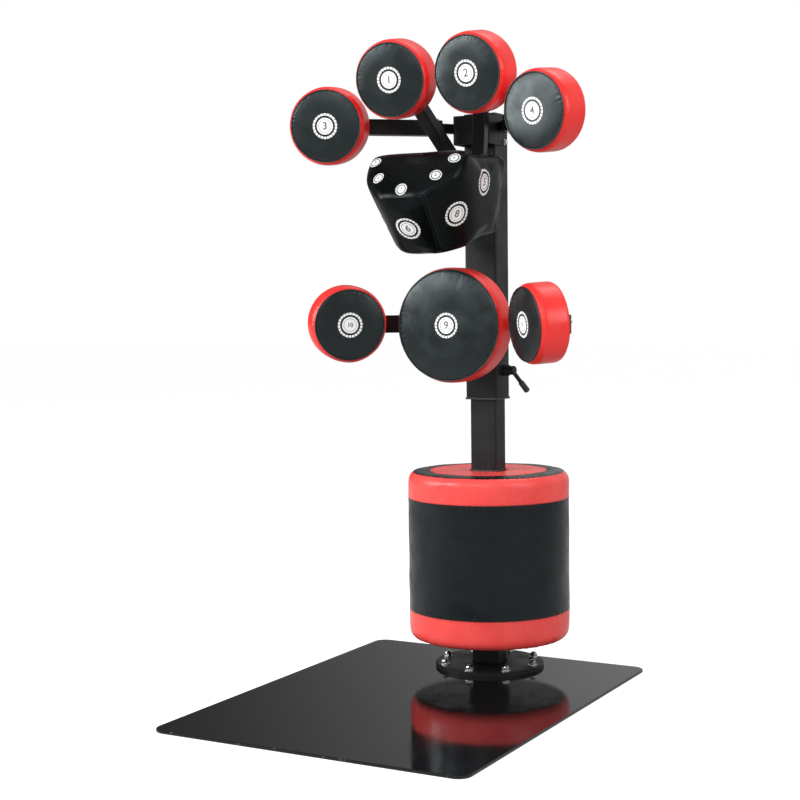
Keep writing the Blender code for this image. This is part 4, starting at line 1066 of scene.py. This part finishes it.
def along_profile(points):
    """Distance from the post's axis out along the underside, up the side and in over the top."""
    across = np.hypot(points[:, 0], points[:, 1] - post_centre.y)
    flat = drum_radius - drum_edge
    bottom_z, top_z = drum_low.z + drum_edge, drum_high.z - drum_edge
    quarter = drum_edge * math.pi / 2
    corner = np.arctan2(np.maximum(across - flat, 0.0), np.maximum(bottom_z - points[:, 2], 1e-6))
    upper = np.arctan2(np.maximum(points[:, 2] - top_z, 0.0), np.maximum(across - flat, 1e-6))
    travel = np.where(across < flat, across, flat + drum_edge * corner)
    side = flat + quarter + points[:, 2] - bottom_z
    travel = np.where(points[:, 2] > bottom_z, side, travel)
    top_start = flat + quarter + top_z - bottom_z
    travel = np.where(points[:, 2] > top_z, top_start + drum_edge * upper, travel)
    on_top = (points[:, 2] > top_z) & (across < flat)
    return np.where(on_top, top_start + quarter + flat - across, travel)


side_start = drum_radius - drum_edge + drum_edge * math.pi / 2 - drum_low.z - drum_edge
top_start = side_start + drum_high.z - drum_edge
seams_at = [drum_radius - drum_edge + 0.004, side_start + seam_levels[0], side_start + seam_levels[1],
            top_start + 0.80 * drum_edge * math.pi / 2,
            top_start + drum_edge * math.pi / 2 + drum_radius - drum_edge - top_disc_radius]


def drum_panels(points):
    """Signed distance from the nearest seam, red above zero, and the plain distance."""
    travel = along_profile(points)
    gaps = np.abs(travel[:, None] - np.array(seams_at)[None, :])
    passed = (travel[:, None] > np.array(seams_at)[None, :]).sum(axis=1)
    seam = gaps.min(axis=1)
    return np.where(passed % 2 == 1, seam, -seam), seam


points = points_of(drum)
_, seam = drum_panels(points)
inside = (np.abs(points[:, 0]) < post_high.x + 0.012)
inside &= np.abs(points[:, 1] - post_centre.y) < post_high.y - post_centre.y + 0.012
stuff(drum, inside | (seam < 0.0045) | (points[:, 2] < drum_low.z + 0.006), 0.0045)
refine(drum)
points = points_of(drum)
_, seam = drum_panels(points)
angle = np.arctan2(points[:, 1] - post_centre.y, points[:, 0])
crumple(drum, seam, angle, 64.0, 0.0008, 0.0013)
points = points_of(drum)
panel, seam = drum_panels(points)
mark_panels(drum, panel, seam)
drum.data.materials.clear()
drum_reds = ((0.90, 0.074, 0.066), (0.97, 0.096, 0.086))
drum.data.materials.append(cover_vinyl("drum_vinyl", drum_reds, pad_blacks, 0.22, 0.36, 0.27))
drum.data.shade_smooth()
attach(drum, "base")
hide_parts("drum_pad")


def sew_drum(name, path, thread):
    """A row of stitches on the drum's cover."""
    row = sew("drum_" + name, path, drum, thread, 0.0046)
    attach(row, "base")


rows = []
for level in seam_levels:
    for shift in (-0.006, 0.006):
        is_red = (shift < 0.0) == (level == seam_levels[0])
        rows.append((drum_radius, level + shift, red_thread if is_red else black_thread))
rows.append((top_disc_radius + 0.006, drum_high.z, black_thread))
rows.append((top_disc_radius - 0.006, drum_high.z, red_thread))
about_post = Vector((0.0, post_centre.y, 0.0))
for number, (radius, level, thread) in enumerate(rows):
    path = [point + about_post for point in circle(radius, level, "Z", 240)]
    sew_drum(f"stitching_{number + 1}", path, thread)

drum_back = post_centre.y + drum_radius
for number, shift in enumerate((-0.005, 0.005)):
    path = [Vector((shift, drum_back, drum_low.z + 0.03)), Vector((shift, drum_back, drum_high.z - 0.03))]
    sew_drum(f"closing_row_{number + 1}", path, black_thread)

binding_width = 0.0042
for end, level in (("top", drum_high.z - 0.002), ("bottom", drum_low.z + 0.003)):
    ring = outline_of("lower_post", Vector((0.0, 0.0, level)), upright)
    binding = lay_bead(f"drum_{end}_binding", ring, binding_width, piping_vinyl)
    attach(binding, "base")
bpy.data.objects.remove(model_stitch, do_unlink=True)


# ---------------------------------------------------------------- small fittings
# The open tails of the side arms are closed with pressed-in nylon plugs, and the clamp lever has a
# ribbed plastic grip pushed on its rod.
def arm_tail(node):
    """Middle of the open end of a level square-cut arm, and the way it points."""
    pin_low, pin_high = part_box(node.replace("_arm", "_pin"))
    start = (pin_low + pin_high) / 2
    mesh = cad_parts[node].data
    level = [face for face in mesh.polygons if abs(face.normal.z) < 0.01]
    wall = max(level, key=lambda face: face.area).normal.copy()
    away = upright.cross(wall).normalized()
    walls = [face for face in level if abs(face.normal.dot(wall)) > 0.9999]
    corners = [mesh.vertices[index].co - start for face in walls for index in face.vertices]
    if -min(corner.dot(away) for corner in corners) > max(corner.dot(away) for corner in corners):
        away = -away
    end = max(corner.dot(away) for corner in corners)
    last = [corner for corner in corners if corner.dot(away) > end - 0.0005]
    sides = [corner.dot(wall) for corner in last]
    heights = [corner.z for corner in last]
    half_way = wall * (min(sides) + max(sides)) / 2 + upright * (min(heights) + max(heights)) / 2
    return start + away * end + half_way, away


for side in ("left", "right"):
    end, away = arm_tail(f"side_{side}_arm")
    turn = Matrix((away, upright.cross(away), upright)).transposed().to_4x4()
    bpy.ops.mesh.primitive_cube_add(size=1.0, location=(0.0022, 0.0, 0.0))
    plug = bpy.context.active_object
    plug.name = f"side_{side}_arm_plug"
    plug.scale = (0.0040, 0.0300, 0.0500)
    settle(plug)
    bpy.ops.object.mode_set(mode="EDIT")
    pick(lambda face: face.normal.x > 0.9)
    bpy.ops.mesh.inset(thickness=0.0035, depth=0.0012)
    bpy.ops.mesh.inset(thickness=0.0030, depth=-0.0010)
    bpy.ops.object.mode_set(mode="OBJECT")
    apply_new(plug, "BEVEL", width=0.0010, segments=3)
    bpy.ops.object.shade_smooth_by_angle(angle=math.radians(40.0))
    plug.data.transform(Matrix.Translation(end) @ turn)
    plug.data.materials.append(nylon)
    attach(plug, f"side_{side}")


lean, drop = math.radians(11.0), math.radians(43.5)
aim = Vector((math.sin(lean), math.cos(lean) * math.cos(drop), -math.cos(lean) * math.sin(drop)))
tip = max((vert.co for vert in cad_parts["clamp_lever"].data.vertices), key=aim.dot).copy()
grip_start = -0.0350
bpy.ops.mesh.primitive_cylinder_add(vertices=28, radius=0.0070, depth=0.0020, location=(0.0, 0.0, grip_start))
grip = bpy.context.active_object
grip.name = "clamp_lever_grip"
bpy.ops.object.mode_set(mode="EDIT")
pick(lambda face: face.normal.z > 0.9)


def grow_grip(rise, radius_change):
    """Pull the chosen end of the grip out by one step, wider or narrower than the last."""
    bpy.ops.mesh.extrude_region_move(TRANSFORM_OT_translate={"value": (0.0, 0.0, rise)})
    bpy.ops.transform.resize(value=(radius_change, radius_change, 1.0), center_override=(0.0, 0.0, 0.0))


grow_grip(0.0014, 1.24)
for rib in range(6):
    grow_grip(0.0026, 1.0)
    grow_grip(0.0005, 0.93)
    grow_grip(0.0010, 1.0)
    grow_grip(0.0005, 1.0 / 0.93)
grow_grip(0.0060, 1.06)
grow_grip(0.0018, 0.90)
grow_grip(0.0012, 0.74)
grow_grip(0.0004, 0.50)
bpy.ops.object.mode_set(mode="OBJECT")
settle(grip)
apply_new(grip, "BEVEL", width=0.0003, segments=2, limit_method="ANGLE", angle_limit=math.radians(25.0))
take_up(grip)
bpy.ops.object.shade_smooth_by_angle(angle=math.radians(50.0))
grip.select_set(False)
grip.data.transform(Matrix.Translation(tip) @ aim.to_track_quat("Z", "Y").to_matrix().to_4x4())
grip.data.materials.append(nylon)
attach(grip, "clamp")


# ---------------------------------------------------------------- studio
# A plain pale floor, a white world for the camera, and soft lamps. A gloss shows the floor and a
# pale room that is dimmer on the left, where nothing stands.
bpy.ops.mesh.primitive_plane_add(size=60.0, location=(0.0, 0.0, -0.0008))
floor = bpy.context.active_object
floor.name = "studio_floor"
pale, painted, _ = start_finish("studio_floor_paint", (0.46, 0.46, 0.46), 0.9)
painted.inputs["Specular IOR Level"].default_value = 0.1
floor.data.materials.append(pale)


def kinds_of_ray(surroundings):
    """1 for what the camera sees itself, and 1 for what it sees in a gloss or through glass."""
    rays = add_node(surroundings, "LightPath").outputs
    bounced = figure(surroundings, "MAXIMUM", rays["Is Glossy Ray"], rays["Is Transmission Ray"])
    return rays["Is Camera Ray"], bounced


straight, bounced = kinds_of_ray(pale)
in_gloss = 0.25
floor_glow = 0.80
share = add_node(pale, "Math", {0: bounced, 1: in_gloss, 2: straight}, operation="MULTIPLY_ADD").outputs[0]
glow = add_node(pale, "Emission", {"Strength": figure(pale, "MULTIPLY", share, floor_glow)})
both = add_node(pale, "AddShader", {0: painted.outputs[0], 1: glow.outputs[0]})
link(pale, both.outputs[0], pale.node_tree.nodes["Material Output"], "Surface")

world = bpy.data.worlds.new("studio_world")
bpy.context.scene.world = world
world.use_nodes = True
sky = world.node_tree.nodes["Background"]
sky.inputs["Color"].default_value = (1.0, 1.0, 1.0, 1.0)
sky.inputs["Strength"].default_value = 0.40
white = add_node(world, "Background", {"Color": (1.0, 1.0, 1.0, 1.0)})
straight, bounced = kinds_of_ray(world)
heading = add_node(world, "TexCoord").outputs["Generated"]
leftward = add_node(world, "SeparateXYZ", {0: heading}).outputs["X"]
room = add_node(world, "Background", {"Strength": remap(world, leftward, -0.66, -0.25, 0.05, 0.75)})
mirrored_sky = add_node(world, "MixShader", {0: bounced, 1: sky.outputs[0], 2: room.outputs[0]})
choose = add_node(world, "MixShader", {0: straight, 1: mirrored_sky.outputs[0], 2: white.outputs[0]})
link(world, choose.outputs[0], world.node_tree.nodes["World Output"], "Surface")

middle = Vector((0.0, 0.2, 0.9))
lamps = (("left_softbox", (-3.7, -1.9, 1.9), 1.5, 95.0), ("key_softbox", (-2.5, -3.3, 2.6), 1.4, 95.0),
         ("front_softbox", (0.8, -4.6, 3.2), 2.4, 70.0), ("right_softbox", (4.4, -1.0, 2.4), 2.2, 75.0),
         ("top_softbox", (0.6, 1.4, 4.8), 2.4, 50.0))
for name, spot, size, power in lamps:
    bpy.ops.object.light_add(type="AREA", location=spot)
    lamp = bpy.context.active_object
    lamp.name = name
    lamp.data.size = size
    lamp.data.energy = power
    lamp.rotation_euler = (middle - Vector(spot)).to_track_quat("-Z", "Y").to_euler()

yaw, pitch, roll = math.radians(28.99), math.radians(3.62), math.radians(-0.64)
back = Vector((math.sin(yaw) * math.cos(pitch), -math.cos(yaw) * math.cos(pitch), math.sin(pitch)))
right = Vector((math.cos(yaw), math.sin(yaw), 0.0))
up = back.cross(right)
tilt_right = right * math.cos(roll) + up * math.sin(roll)
tilt_up = up * math.cos(roll) - right * math.sin(roll)
bpy.ops.object.camera_add()
camera = bpy.context.active_object
camera.matrix_world = Matrix.Translation((1.9662, -3.655, 1.075)) @ Matrix(
    (tilt_right, tilt_up, back)).transposed().to_4x4()
camera.data.sensor_width = 36.0
camera.data.lens = 70.12
bpy.context.scene.camera = camera
bpy.context.scene.view_settings.view_transform = "Standard"
